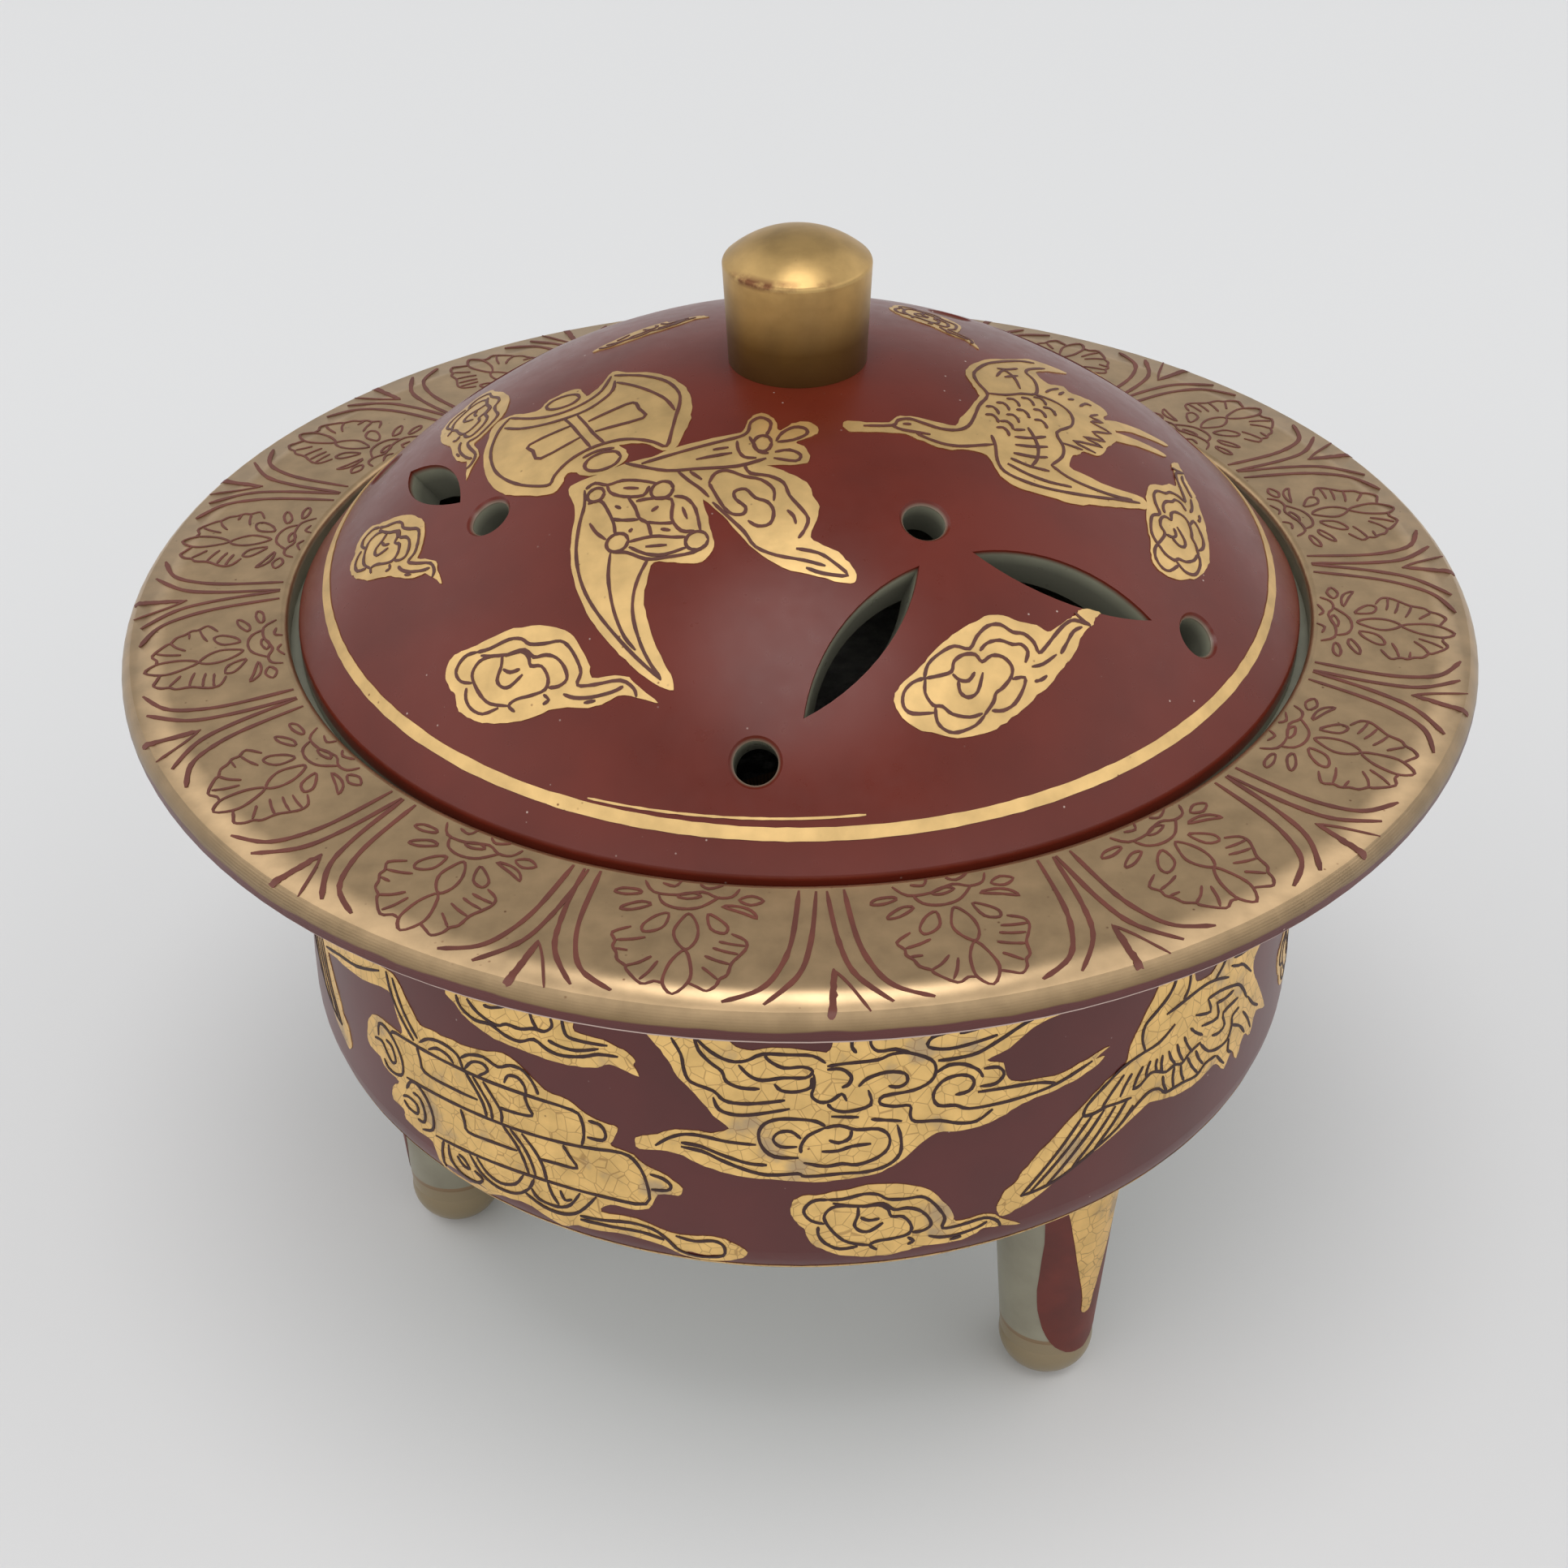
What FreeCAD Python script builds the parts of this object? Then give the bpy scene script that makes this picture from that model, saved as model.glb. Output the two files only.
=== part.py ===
import FreeCAD, Part
import math
import os

# Incense burner: a porcelain tripod bowl with a wide everted rim, closed by a
# pierced dome lid that drops into a rebate in the mouth. Millimetres, +Z up,
# origin on the surface it stands on, under the axis of the bowl.

# Rim and the rebate that the lid drops into
RIM_RADIUS = 60.0
RIM_EDGE_HEIGHT = 68.5
RIM_LIP_ROUNDING = 1.6
RIM_LIP_SWEEP = 62.0
RIM_INNER_RADIUS = 45.4
RIM_INNER_HEIGHT = 71.1
SEAT_HEIGHT = 68.8
SEAT_INNER_RADIUS = 40.4
RIM_UNDERSIDE_SLOPE = 7.0

# Bowl
NECK_RADIUS = 43.0
NECK_HEIGHT = 60.5
NECK_ROUNDING = 4.0
BELLY_RADIUS = 47.0
BELLY_HEIGHT = 33.5
BELLY_BOTTOM = 23.7
BELLY_ROUNDNESS = 2.34
WALL = 3.8

# Lid
LID_RADIUS = 44.5
LID_EDGE_TOP = 70.8
DOME_RISE = 22.2
LID_WALL = 3.4

# Glaze rounding on the turned edges
LID_EDGE_ROUNDING = 0.6
RIM_INNER_ROUNDING = 0.6
SEAT_EDGE_ROUNDING = 1.0
KNOB_EDGE_ROUNDING = 0.5

# Knob on the lid
KNOB_BASE_RADIUS = 5.9
KNOB_TOP_RADIUS = 6.3
KNOB_EDGE_HEIGHT = 101.6
KNOB_APEX_HEIGHT = 104.1

# Vents cut through the lid, placed by their distance from the lid's apex,
# measured along the dome, and by their bearing about the axis in degrees
VENT_HOLE_DIAMETER = 3.5
VENT_HOLE_SOFTENING = 0.4
VENT_SLIT_WIDTH = 3.9
VENT_SLIT_TAPER = 0.76
VENT_SLIT_LEVELS = (1, -2)
FRONT_VENT_BEARING = -63.5
BACK_VENT_BEARING = 52.0
SIDE_VENT_BEARING = 167.0
INNER_HOLE_DISTANCE = 23.3
OUTER_HOLE_DISTANCE = 42.7
OUTER_HOLE_SPREAD = 31.5
SIDE_HOLE_DISTANCE = 30.4
SIDE_HOLE_SPREAD = 40.5
SLIT_SHIFT = 2.0
SLIT_TO_HOLE = 4.9
SLIT_TO_ROOT = 4.0
SIDE_SLIT_SHIFT = -0.6
SIDE_SLIT_TO_ROOT = 10.0

# Feet
FOOT_CIRCLE_RADIUS = 36.0
FOOT_BEARINGS = {"left_foot": -169.4, "front_right_foot": -49.4, "rear_foot": 70.6}
FOOT_TOP_RADIUS = 6.4
FOOT_TIP_RADIUS = 4.4
FOOT_FLAT_RADIUS = 1.6
FOOT_TIP_BEND_RADIUS = 3.78
FOOT_TIP_BEND_HEIGHT = 1.45
FOOT_TOP_HEIGHT = 33.0

# What it holds in use: ash, a charcoal tablet bedded in it and an incense chip
ASH_HEIGHT = 43.0
ASH_CROWN = 1.5
ASH_HALFWAY_CROWN = 1.125
CHARCOAL_RADIUS = 12.0
CHARCOAL_BOTTOM = 38.5
CHARCOAL_TOP = 46.5
CHARCOAL_CHAMFER = 1.0
CHIP_LENGTH = 10.0
CHIP_WIDTH = 6.0
CHIP_THICKNESS = 1.8
CHIP_THIN_END = 0.99
CHIP_THICK_END = 1.62
CHIP_RIDGE_OFFSET = 1.0
CHIP_TURN = 25.0

# Values that follow from the driving dimensions
DOME_RADIUS = (LID_RADIUS ** 2 + DOME_RISE ** 2) / (2 * DOME_RISE)
DOME_CENTRE = LID_EDGE_TOP + DOME_RISE - DOME_RADIUS
INNER_DOME_RADIUS = DOME_RADIUS - LID_WALL
INSIDE_BOTTOM = BELLY_BOTTOM + WALL
CURVE_POINTS = 8
TOUCH = 0.001

AXIS_START = FreeCAD.Vector(0, 0, 0)
UP = FreeCAD.Vector(0, 0, 1)


def at(radius, height):
    """A point of a turned profile."""
    return FreeCAD.Vector(radius, 0, height)


def line(start, end):
    return Part.LineSegment(start, end).toShape()


def arc(start, middle, end):
    return Part.Arc(start, middle, end).toShape()


def sphere_point(radius, distance_from_axis):
    """A point of the dome's profile on the sphere of this radius."""
    return at(distance_from_axis, DOME_CENTRE + math.sqrt(radius ** 2 - distance_from_axis ** 2))


def turned(edges):
    """Turn a closed profile about the vertical axis."""
    face = Part.Face(Part.Wire(edges))
    return face.revolve(AXIS_START, UP, 360)


def soften(shape, radius, height, rounding):
    """Round the circular edge of a turned shape at this radius and height."""
    near = [
        edge for edge in shape.Edges
        if abs(edge.BoundBox.ZMax - height) < TOUCH and abs(edge.BoundBox.ZMin - height) < TOUCH
        and abs(edge.Vertexes[0].Point.x - radius) < TOUCH
    ]
    return shape.makeFillet(rounding, near)


def belly_turn(wall):
    """The rounded lower belly, from the axis out to the widest point, set in by the wall."""
    widest = BELLY_RADIUS - wall
    depth = BELLY_HEIGHT - BELLY_BOTTOM - wall
    points = []
    for step in range(CURVE_POINTS + 1):
        turn = math.pi / 2 * step / CURVE_POINTS
        radius = widest * math.sin(turn) ** (2 / BELLY_ROUNDNESS)
        height = BELLY_HEIGHT - depth * math.cos(turn) ** (2 / BELLY_ROUNDNESS)
        points.append(at(radius, height))
    curve = Part.BSplineCurve()
    curve.interpolate(points, InitialTangent=at(1, 0), FinalTangent=at(0, 1))
    return curve.toShape()


def belly_side(wall):
    """The upper belly, an arc from the widest point in to the neck, upright where it starts."""
    bulge = (BELLY_RADIUS - NECK_RADIUS) / 4
    middle = at(BELLY_RADIUS - wall - bulge, (BELLY_HEIGHT + NECK_HEIGHT) / 2)
    return arc(at(BELLY_RADIUS - wall, BELLY_HEIGHT), middle, at(NECK_RADIUS - wall, NECK_HEIGHT))


def round_bend(centre, rounding, start, end):
    """An arc of a profile about its centre, between two directions in degrees."""
    points = []
    for direction in (start, (start + end) / 2, end):
        angle = math.radians(direction)
        points.append(centre + at(rounding * math.cos(angle), rounding * math.sin(angle)))
    return points


def belly_core():
    """The whole belly as a filled form, used to fit the feet to its surface."""
    closing = [
        line(at(NECK_RADIUS, NECK_HEIGHT), at(0, NECK_HEIGHT)),
        line(at(0, NECK_HEIGHT), at(0, BELLY_BOTTOM)),
    ]
    return turned([belly_turn(0), belly_side(0)] + closing)


def bowl():
    """Bowl, everted rim and lid rebate, thrown in one piece."""
    rise = NECK_HEIGHT - BELLY_HEIGHT
    lean = 2 * math.degrees(math.atan2(BELLY_RADIUS - NECK_RADIUS, rise))
    neck = at(NECK_RADIUS, NECK_HEIGHT)
    neck_offset = at(math.cos(math.radians(lean)), math.sin(math.radians(lean)))
    bend_centre = neck + neck_offset * NECK_ROUNDING
    neck_bend = round_bend(bend_centre, NECK_ROUNDING, 180 + lean, 90 + RIM_UNDERSIDE_SLOPE)
    lip_centre = at(RIM_RADIUS - RIM_LIP_ROUNDING, RIM_EDGE_HEIGHT)
    lip = round_bend(lip_centre, RIM_LIP_ROUNDING, -RIM_LIP_SWEEP, RIM_LIP_SWEEP)
    rim_top = at(RIM_INNER_RADIUS, RIM_INNER_HEIGHT)
    seat_wall = at(RIM_INNER_RADIUS, SEAT_HEIGHT)
    seat_edge = at(SEAT_INNER_RADIUS, SEAT_HEIGHT)
    throat = at(NECK_RADIUS - WALL, NECK_HEIGHT)
    edges = [
        belly_turn(0),
        belly_side(0),
        arc(neck, neck_bend[1], neck_bend[2]),
        line(neck_bend[2], lip[0]),
        arc(*lip),
        line(lip[2], rim_top),
        line(rim_top, seat_wall),
        line(seat_wall, seat_edge),
        line(seat_edge, throat),
        belly_side(WALL),
        belly_turn(WALL),
        line(at(0, INSIDE_BOTTOM), at(0, BELLY_BOTTOM)),
    ]
    shape = turned(edges)
    shape = soften(shape, RIM_INNER_RADIUS, RIM_INNER_HEIGHT, RIM_INNER_ROUNDING)
    return soften(shape, SEAT_INNER_RADIUS, SEAT_HEIGHT, SEAT_EDGE_ROUNDING)


def foot(bearing):
    """A tapered round foot with a worn flat tip, its top fitted to the belly."""
    shoulder = at(FOOT_TIP_RADIUS, FOOT_TIP_RADIUS)
    tip_middle = at(FOOT_TIP_BEND_RADIUS, FOOT_TIP_BEND_HEIGHT)
    tip = at(FOOT_FLAT_RADIUS, 0)
    edges = [
        line(at(0, 0), tip),
        arc(tip, tip_middle, shoulder),
        line(shoulder, at(FOOT_TOP_RADIUS, FOOT_TOP_HEIGHT)),
        line(at(FOOT_TOP_RADIUS, FOOT_TOP_HEIGHT), at(0, FOOT_TOP_HEIGHT)),
        line(at(0, FOOT_TOP_HEIGHT), at(0, 0)),
    ]
    shape = turned(edges)
    angle = math.radians(bearing)
    direction = FreeCAD.Vector(math.cos(angle), math.sin(angle), 0)
    shape.translate(direction * FOOT_CIRCLE_RADIUS)
    return shape.cut(belly_core())


def plan_point(distance, bearing):
    """A place on the dome, as if its surface were rolled out flat about the apex."""
    angle = math.radians(bearing)
    return FreeCAD.Vector(distance * math.cos(angle), distance * math.sin(angle), 0)


def on_dome(shape, place):
    """Move a cutter from the origin to a place on the dome, square to its surface."""
    tilt = math.degrees(place.Length / DOME_RADIUS)
    bearing = math.degrees(math.atan2(place.y, place.x))
    shape.rotate(AXIS_START, UP, -bearing)
    shape.translate(FreeCAD.Vector(0, 0, DOME_RADIUS))
    shape.rotate(AXIS_START, FreeCAD.Vector(0, 1, 0), tilt)
    shape.rotate(AXIS_START, UP, bearing)
    shape.translate(FreeCAD.Vector(0, 0, DOME_CENTRE))
    return shape


def hole_cutter(place):
    """A round vent with a softened mouth."""
    radius = VENT_HOLE_DIAMETER / 2
    reach = 2 * LID_WALL
    mouth = radius + VENT_HOLE_SOFTENING + reach
    edges = [
        line(at(0, -reach), at(radius, -reach)),
        line(at(radius, -reach), at(radius, -VENT_HOLE_SOFTENING)),
        line(at(radius, -VENT_HOLE_SOFTENING), at(mouth, reach)),
        line(at(mouth, reach), at(0, reach)),
        line(at(0, reach), at(0, -reach)),
    ]
    return on_dome(turned(edges), place)


def leaf(length, width, height):
    """A leaf outline whose sides are two shallow arcs that meet at its tips."""
    tips = [FreeCAD.Vector(-length / 2, 0, height), FreeCAD.Vector(length / 2, 0, height)]
    sides = [FreeCAD.Vector(0, turn * width / 2, height) for turn in (1, -1)]
    return Part.Wire([arc(tips[0], sides[0], tips[1]), arc(tips[1], sides[1], tips[0])])


def slit_cutter(start, end):
    """A leaf-shaped slit between two places on the dome, narrowing through the wall."""
    length = (end - start).Length
    heading = math.degrees(math.atan2(end.y - start.y, end.x - start.x))
    outlines = []
    for level in VENT_SLIT_LEVELS:
        scale = 1 + level * (1 - VENT_SLIT_TAPER)
        outlines.append(leaf(scale * length, scale * VENT_SLIT_WIDTH, level * LID_WALL))
    cutter = Part.makeLoft(outlines, True, True)
    cutter.rotate(AXIS_START, UP, heading)
    return on_dome(cutter, (start + end) * 0.5)


def vent_group(root, ends, slit_to_root, slit_shift):
    """One cluster of vents: a root hole, two end holes and a slit towards each of them.

    Each slit starts at a distance from the root and is shifted towards the other slit.
    """
    cutters = [hole_cutter(root)]
    middle = (ends[0] + ends[1]) * 0.5
    for end in ends:
        cutters.append(hole_cutter(end))
        along = (end - root).normalize()
        across = UP.cross(along)
        inward = across if across.dot(middle - root) > 0 else -across
        shift = inward * slit_shift
        slit_start = root + along * slit_to_root + shift
        slit_end = end - along * SLIT_TO_HOLE + shift
        cutters.append(slit_cutter(slit_start, slit_end))
    return cutters


def vents():
    """Two clusters that open outwards and, at the side, one that opens inwards."""
    cutters = []
    for bearing in (FRONT_VENT_BEARING, BACK_VENT_BEARING):
        root = plan_point(INNER_HOLE_DISTANCE, bearing)
        turns = (-OUTER_HOLE_SPREAD, OUTER_HOLE_SPREAD)
        ends = [plan_point(OUTER_HOLE_DISTANCE, bearing + turn) for turn in turns]
        cutters += vent_group(root, ends, SLIT_TO_ROOT, SLIT_SHIFT)
    root = plan_point(OUTER_HOLE_DISTANCE, SIDE_VENT_BEARING)
    turns = (-SIDE_HOLE_SPREAD, SIDE_HOLE_SPREAD)
    ends = [plan_point(SIDE_HOLE_DISTANCE, SIDE_VENT_BEARING + turn) for turn in turns]
    cutters += vent_group(root, ends, SIDE_SLIT_TO_ROOT, SIDE_SLIT_SHIFT)
    return cutters


def lid():
    """Domed shell with a flat foot that rests in the rebate, pierced by the vents."""
    inner_edge = math.sqrt(INNER_DOME_RADIUS ** 2 - (SEAT_HEIGHT - DOME_CENTRE) ** 2)
    shoulder = at(LID_RADIUS, LID_EDGE_TOP)
    apex = sphere_point(DOME_RADIUS, 0)
    edges = [
        line(at(inner_edge, SEAT_HEIGHT), at(LID_RADIUS, SEAT_HEIGHT)),
        line(at(LID_RADIUS, SEAT_HEIGHT), shoulder),
        arc(shoulder, sphere_point(DOME_RADIUS, LID_RADIUS / 2), apex),
        line(apex, sphere_point(INNER_DOME_RADIUS, 0)),
        arc(
            sphere_point(INNER_DOME_RADIUS, 0),
            sphere_point(INNER_DOME_RADIUS, inner_edge / 2),
            at(inner_edge, SEAT_HEIGHT),
        ),
    ]
    shape = soften(turned(edges), LID_RADIUS, LID_EDGE_TOP, LID_EDGE_ROUNDING)
    return shape.cut(Part.makeCompound(vents()))


def knob():
    """Slightly flared round knob with a low domed top, its foot fitted to the dome."""
    seat_edge = sphere_point(DOME_RADIUS, KNOB_BASE_RADIUS)
    top_edge = at(KNOB_TOP_RADIUS, KNOB_EDGE_HEIGHT)
    apex = at(0, KNOB_APEX_HEIGHT)
    crown = KNOB_APEX_HEIGHT - KNOB_EDGE_HEIGHT
    crown_radius = (KNOB_TOP_RADIUS ** 2 + crown ** 2) / (2 * crown)
    crown_centre = KNOB_APEX_HEIGHT - crown_radius
    half_out = KNOB_TOP_RADIUS / 2
    crown_middle = at(half_out, crown_centre + math.sqrt(crown_radius ** 2 - half_out ** 2))
    edges = [
        arc(sphere_point(DOME_RADIUS, 0), sphere_point(DOME_RADIUS, KNOB_BASE_RADIUS / 2), seat_edge),
        line(seat_edge, top_edge),
        arc(top_edge, crown_middle, apex),
        line(apex, sphere_point(DOME_RADIUS, 0)),
    ]
    return soften(turned(edges), KNOB_TOP_RADIUS, KNOB_EDGE_HEIGHT, KNOB_EDGE_ROUNDING)


def charcoal_tablet():
    """Round pressed-charcoal tablet, bedded in the ash to about half its height."""
    profile = [
        at(0, CHARCOAL_BOTTOM),
        at(CHARCOAL_RADIUS, CHARCOAL_BOTTOM),
        at(CHARCOAL_RADIUS, CHARCOAL_TOP - CHARCOAL_CHAMFER),
        at(CHARCOAL_RADIUS - CHARCOAL_CHAMFER, CHARCOAL_TOP),
        at(0, CHARCOAL_TOP),
    ]
    edges = [line(profile[index - 1], corner) for index, corner in enumerate(profile)]
    return turned(edges)


def ash_bed():
    """Ash that fills the lower bowl against its wall, hollowed for the charcoal."""
    rise = (ASH_HEIGHT - BELLY_HEIGHT) / (NECK_HEIGHT - BELLY_HEIGHT)
    edge_radius = BELLY_RADIUS - WALL - (BELLY_RADIUS - NECK_RADIUS) * rise
    filled = turned([
        belly_turn(WALL),
        line(at(BELLY_RADIUS - WALL, BELLY_HEIGHT), at(BELLY_RADIUS - WALL, ASH_HEIGHT)),
        arc(
            at(BELLY_RADIUS - WALL, ASH_HEIGHT),
            at(edge_radius / 2, ASH_HEIGHT + ASH_HALFWAY_CROWN),
            at(0, ASH_HEIGHT + ASH_CROWN),
        ),
        line(at(0, ASH_HEIGHT + ASH_CROWN), at(0, INSIDE_BOTTOM)),
    ])
    return filled.cut(bowl()).cut(charcoal_tablet())


def incense_chip():
    """A split flake of incense wood lying on the charcoal, one end thinner."""
    half = CHIP_LENGTH / 2
    corners = [
        (-half, 0),
        (half, 0),
        (half, CHIP_THIN_END),
        (CHIP_RIDGE_OFFSET, CHIP_THICKNESS),
        (-half, CHIP_THICK_END),
    ]
    points = [FreeCAD.Vector(x, -CHIP_WIDTH / 2, z) for x, z in corners]
    side = Part.Face(Part.makePolygon(points + points[:1]))
    shape = side.extrude(FreeCAD.Vector(0, CHIP_WIDTH, 0))
    shape.rotate(AXIS_START, UP, CHIP_TURN)
    shape.translate(FreeCAD.Vector(0, 0, CHARCOAL_TOP))
    return shape


def build():
    pieces = {"bowl": bowl(), "lid": lid(), "knob": knob()}
    for name, bearing in FOOT_BEARINGS.items():
        pieces[name] = foot(bearing)
    pieces["ash_bed"] = ash_bed()
    pieces["charcoal_tablet"] = charcoal_tablet()
    pieces["incense_chip"] = incense_chip()
    return pieces


os.makedirs("parts", exist_ok=True)
for node, shape in build().items():
    print(node, shape.ShapeType, len(shape.Solids), shape.isValid(), round(shape.Volume, 1))
    shape.exportStep("parts/" + node + ".step")
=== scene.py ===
import math
import random

import bpy
from mathutils import Matrix, Vector
from mathutils.bvhtree import BVHTree
from mathutils.geometry import delaunay_2d_cdt


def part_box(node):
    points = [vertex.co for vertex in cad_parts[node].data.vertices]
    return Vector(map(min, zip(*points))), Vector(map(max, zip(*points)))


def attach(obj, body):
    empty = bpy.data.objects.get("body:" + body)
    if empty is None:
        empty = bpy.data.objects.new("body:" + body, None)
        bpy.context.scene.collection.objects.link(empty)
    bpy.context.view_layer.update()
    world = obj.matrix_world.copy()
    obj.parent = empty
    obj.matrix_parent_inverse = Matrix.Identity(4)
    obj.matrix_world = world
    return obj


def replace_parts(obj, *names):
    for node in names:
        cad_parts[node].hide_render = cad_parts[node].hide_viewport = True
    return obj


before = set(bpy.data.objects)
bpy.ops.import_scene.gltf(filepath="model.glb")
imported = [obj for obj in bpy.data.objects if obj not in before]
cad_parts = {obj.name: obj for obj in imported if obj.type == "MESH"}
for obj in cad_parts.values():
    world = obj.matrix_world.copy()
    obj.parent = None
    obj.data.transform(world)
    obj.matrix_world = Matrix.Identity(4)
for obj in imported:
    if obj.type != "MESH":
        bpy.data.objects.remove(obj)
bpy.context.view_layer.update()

MM = 0.001
RANDOM = random.Random(11)

# Sizes of the burner in metres, read from its solids or, where a box doesn't give them, from its drawing
LID_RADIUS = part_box("lid")[1].x
LID_SHOULDER = 70.8 * MM
DOME_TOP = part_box("lid")[1].z
DOME_RISE = DOME_TOP - LID_SHOULDER
DOME_RADIUS = (LID_RADIUS ** 2 + DOME_RISE ** 2) / (2 * DOME_RISE)
DOME_CENTRE = Vector((0, 0, DOME_TOP - DOME_RADIUS))
RIM_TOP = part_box("bowl")[1].z
RIM_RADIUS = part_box("bowl")[1].x
RIM_INNER_RADIUS = 45.4 * MM
BELLY_RADIUS = 47.0 * MM
BELLY_HEIGHT = 33.5 * MM
BELLY_SIDE_CURVE = 93.1 * MM
FEET = ("left_foot", "front_right_foot", "rear_foot")

# How far the painted decoration stands out from the solids, and how far it sinks into them, in metres
GOLD_TOP = 0.06 * MM
GOLD_BOTTOM = -0.12 * MM
LINE_TOP = 0.10 * MM
LINE_BOTTOM = 0.02 * MM
LINE_LIFT = 0.01 * MM


# Surfaces that carry decoration: each takes flat drawing coordinates in millimetres

def solid_tree(node):
    """A search tree over one solid, to lay decoration exactly on it."""
    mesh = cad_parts[node].data
    corners = [vertex.co for vertex in mesh.vertices]
    return BVHTree.FromPolygons(corners, [face.vertices for face in mesh.polygons])


BOWL_TREE = solid_tree("bowl")


def level(bearing):
    """The level direction at a bearing in radians."""
    return Vector((math.cos(bearing), math.sin(bearing), 0))


def upright(height):
    """A step straight up."""
    return Vector((0, 0, height))


def on_dome(x, y):
    """Distances right and away from the lid's top, measured over the dome."""
    tilt = math.hypot(x, y) * MM / DOME_RADIUS
    normal = level(math.atan2(y, x)) * math.sin(tilt) + upright(math.cos(tilt))
    return DOME_CENTRE + normal * DOME_RADIUS, normal


def on_belly(along, up):
    """Distance around the belly from the front, and up its side from the widest line."""
    outward = level(along * MM / BELLY_RADIUS - math.pi / 2)
    tilt = up * MM / BELLY_SIDE_CURVE
    height = BELLY_HEIGHT + BELLY_SIDE_CURVE * math.sin(tilt)
    point = BOWL_TREE.ray_cast(outward * RIM_RADIUS + upright(height), -outward)[0]
    return point, (outward * math.cos(tilt) + upright(math.sin(tilt))).normalized()


RIM_DRAWING_RADIUS = 53.0
ABOVE_RIM = 10 * MM


def on_rim(along, radius):
    """Distance around the rim at its drawing radius, and the radius itself."""
    outward = level(along / RIM_DRAWING_RADIUS)
    start = outward * radius * MM + upright(RIM_TOP + ABOVE_RIM)
    point, normal = BOWL_TREE.ray_cast(start, upright(-1))[:2]
    return point, normal


def on_foot(node, turn):
    """The surface of one foot: distance around it, and height.

    The distance starts at the foot's outward side, turned by some degrees.
    """
    tree = solid_tree(node)
    low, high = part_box(node)
    axis = Vector(((low.x + high.x) / 2, (low.y + high.y) / 2, 0))
    first_bearing = math.atan2(axis.y, axis.x) + math.radians(turn)
    radius = (high.x - low.x) / 2

    def surface(along, height):
        outward = level(first_bearing + along * MM / radius)
        start = axis + outward * 2 * radius + upright(height * MM)
        point = tree.ray_cast(start, -outward)[0]
        return point, outward

    return surface


# Curves of the drawings

SMOOTH_STEPS = 3
OVAL_POINTS = 8


def blend(share, before, start, end, after):
    """A value between start and end that bends smoothly towards their neighbours."""
    return (start + share * (end - before) / 2
            + share * share * (2 * before - 5 * start + 4 * end - after) / 2
            + share * share * share * (3 * start - before - 3 * end + after) / 2)


def curve_through(points, closed=False):
    """A smooth curve through given points."""
    count = len(points)
    spans = count if closed else count - 1
    curve = []
    for index in range(spans):
        if closed:
            before, start, end, after = (points[(index + shift) % count] for shift in (-1, 0, 1, 2))
        else:
            start, end = points[index], points[index + 1]
            before = points[index - 1] if index else start
            after = points[index + 2] if index + 2 < count else end
        for step in range(SMOOTH_STEPS):
            share = step / SMOOTH_STEPS
            curve.append(tuple(blend(share, *values) for values in zip(before, start, end, after)))
    if not closed:
        curve.append(points[-1])
    return curve


def mover(pivot, to, turn=0.0, size=1.0, flip=1):
    """A function that brings a pivot to another point and turns and resizes what lies around it."""
    cos, sin = math.cos(math.radians(turn)) * size, math.sin(math.radians(turn)) * size

    def move(point):
        x, y = (point[0] - pivot[0]) * flip, point[1] - pivot[1]
        return to[0] + x * cos - y * sin, to[1] + x * sin + y * cos

    return move


def oval(x, y, half_width, half_height, turn=0.0):
    """Points around an oval, for the berries and rings."""
    angles = [math.tau * index / OVAL_POINTS for index in range(OVAL_POINTS)]
    ring = [(half_width * math.cos(angle), half_height * math.sin(angle)) for angle in angles]
    return [mover((0, 0), (x, y), turn)(point) for point in ring + ring[:1]]


def placed(drawing, *place):
    """A drawing whose gold outlines and lines are moved alike."""
    move = mover(*place)
    return [[[move(point) for point in curve] for curve in curves] for curves in drawing]


# Relief: closed thin shapes laid on a surface and gathered in one mesh

GRID = 1.5
EDGE_WOBBLE = 0.035
BRUSH_WOBBLE = 0.18
TAPER = 0.5
INSIDE_ONLY = 1
MERGE_DISTANCE = 1e-5
SHARP_ANGLE = math.radians(40)


def add_object(name, data):
    """A new object in the scene."""
    item = bpy.data.objects.new(name, data)
    bpy.context.scene.collection.objects.link(item)
    return item


def add_piece(name, vertices, faces, material, body):
    """A new piece of the burner, riding on its body."""
    mesh = bpy.data.meshes.new(name)
    mesh.from_pydata(vertices, [], faces)
    mesh.polygons.foreach_set("use_smooth", [True] * len(mesh.polygons))
    mesh.set_sharp_from_angle(angle=SHARP_ANGLE)
    mesh.materials.append(material)
    piece = add_object(name, mesh)
    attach(piece, body)
    return piece


def inside(point, outline):
    """Whether a point lies within an outline."""
    x, y = point
    within = False
    previous = outline[-1]
    for corner in outline:
        if (corner[1] > y) != (previous[1] > y):
            slope = (previous[0] - corner[0]) / (previous[1] - corner[1])
            if x < corner[0] + slope * (y - corner[1]):
                within = not within
        previous = corner
    return within


def grid_points(outline):
    """A triangular grid of points within an outline, so that a patch follows its surface."""
    xs = [point[0] for point in outline]
    ys = [point[1] for point in outline]
    rows = int((max(ys) - min(ys)) / GRID) + 1
    columns = int((max(xs) - min(xs)) / GRID) + 1
    points = []
    for row in range(rows):
        for column in range(columns):
            point = (min(xs) + (column + 0.5 * (row % 2)) * GRID, min(ys) + row * GRID)
            if inside(point, outline):
                points.append(point)
    return points


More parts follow.
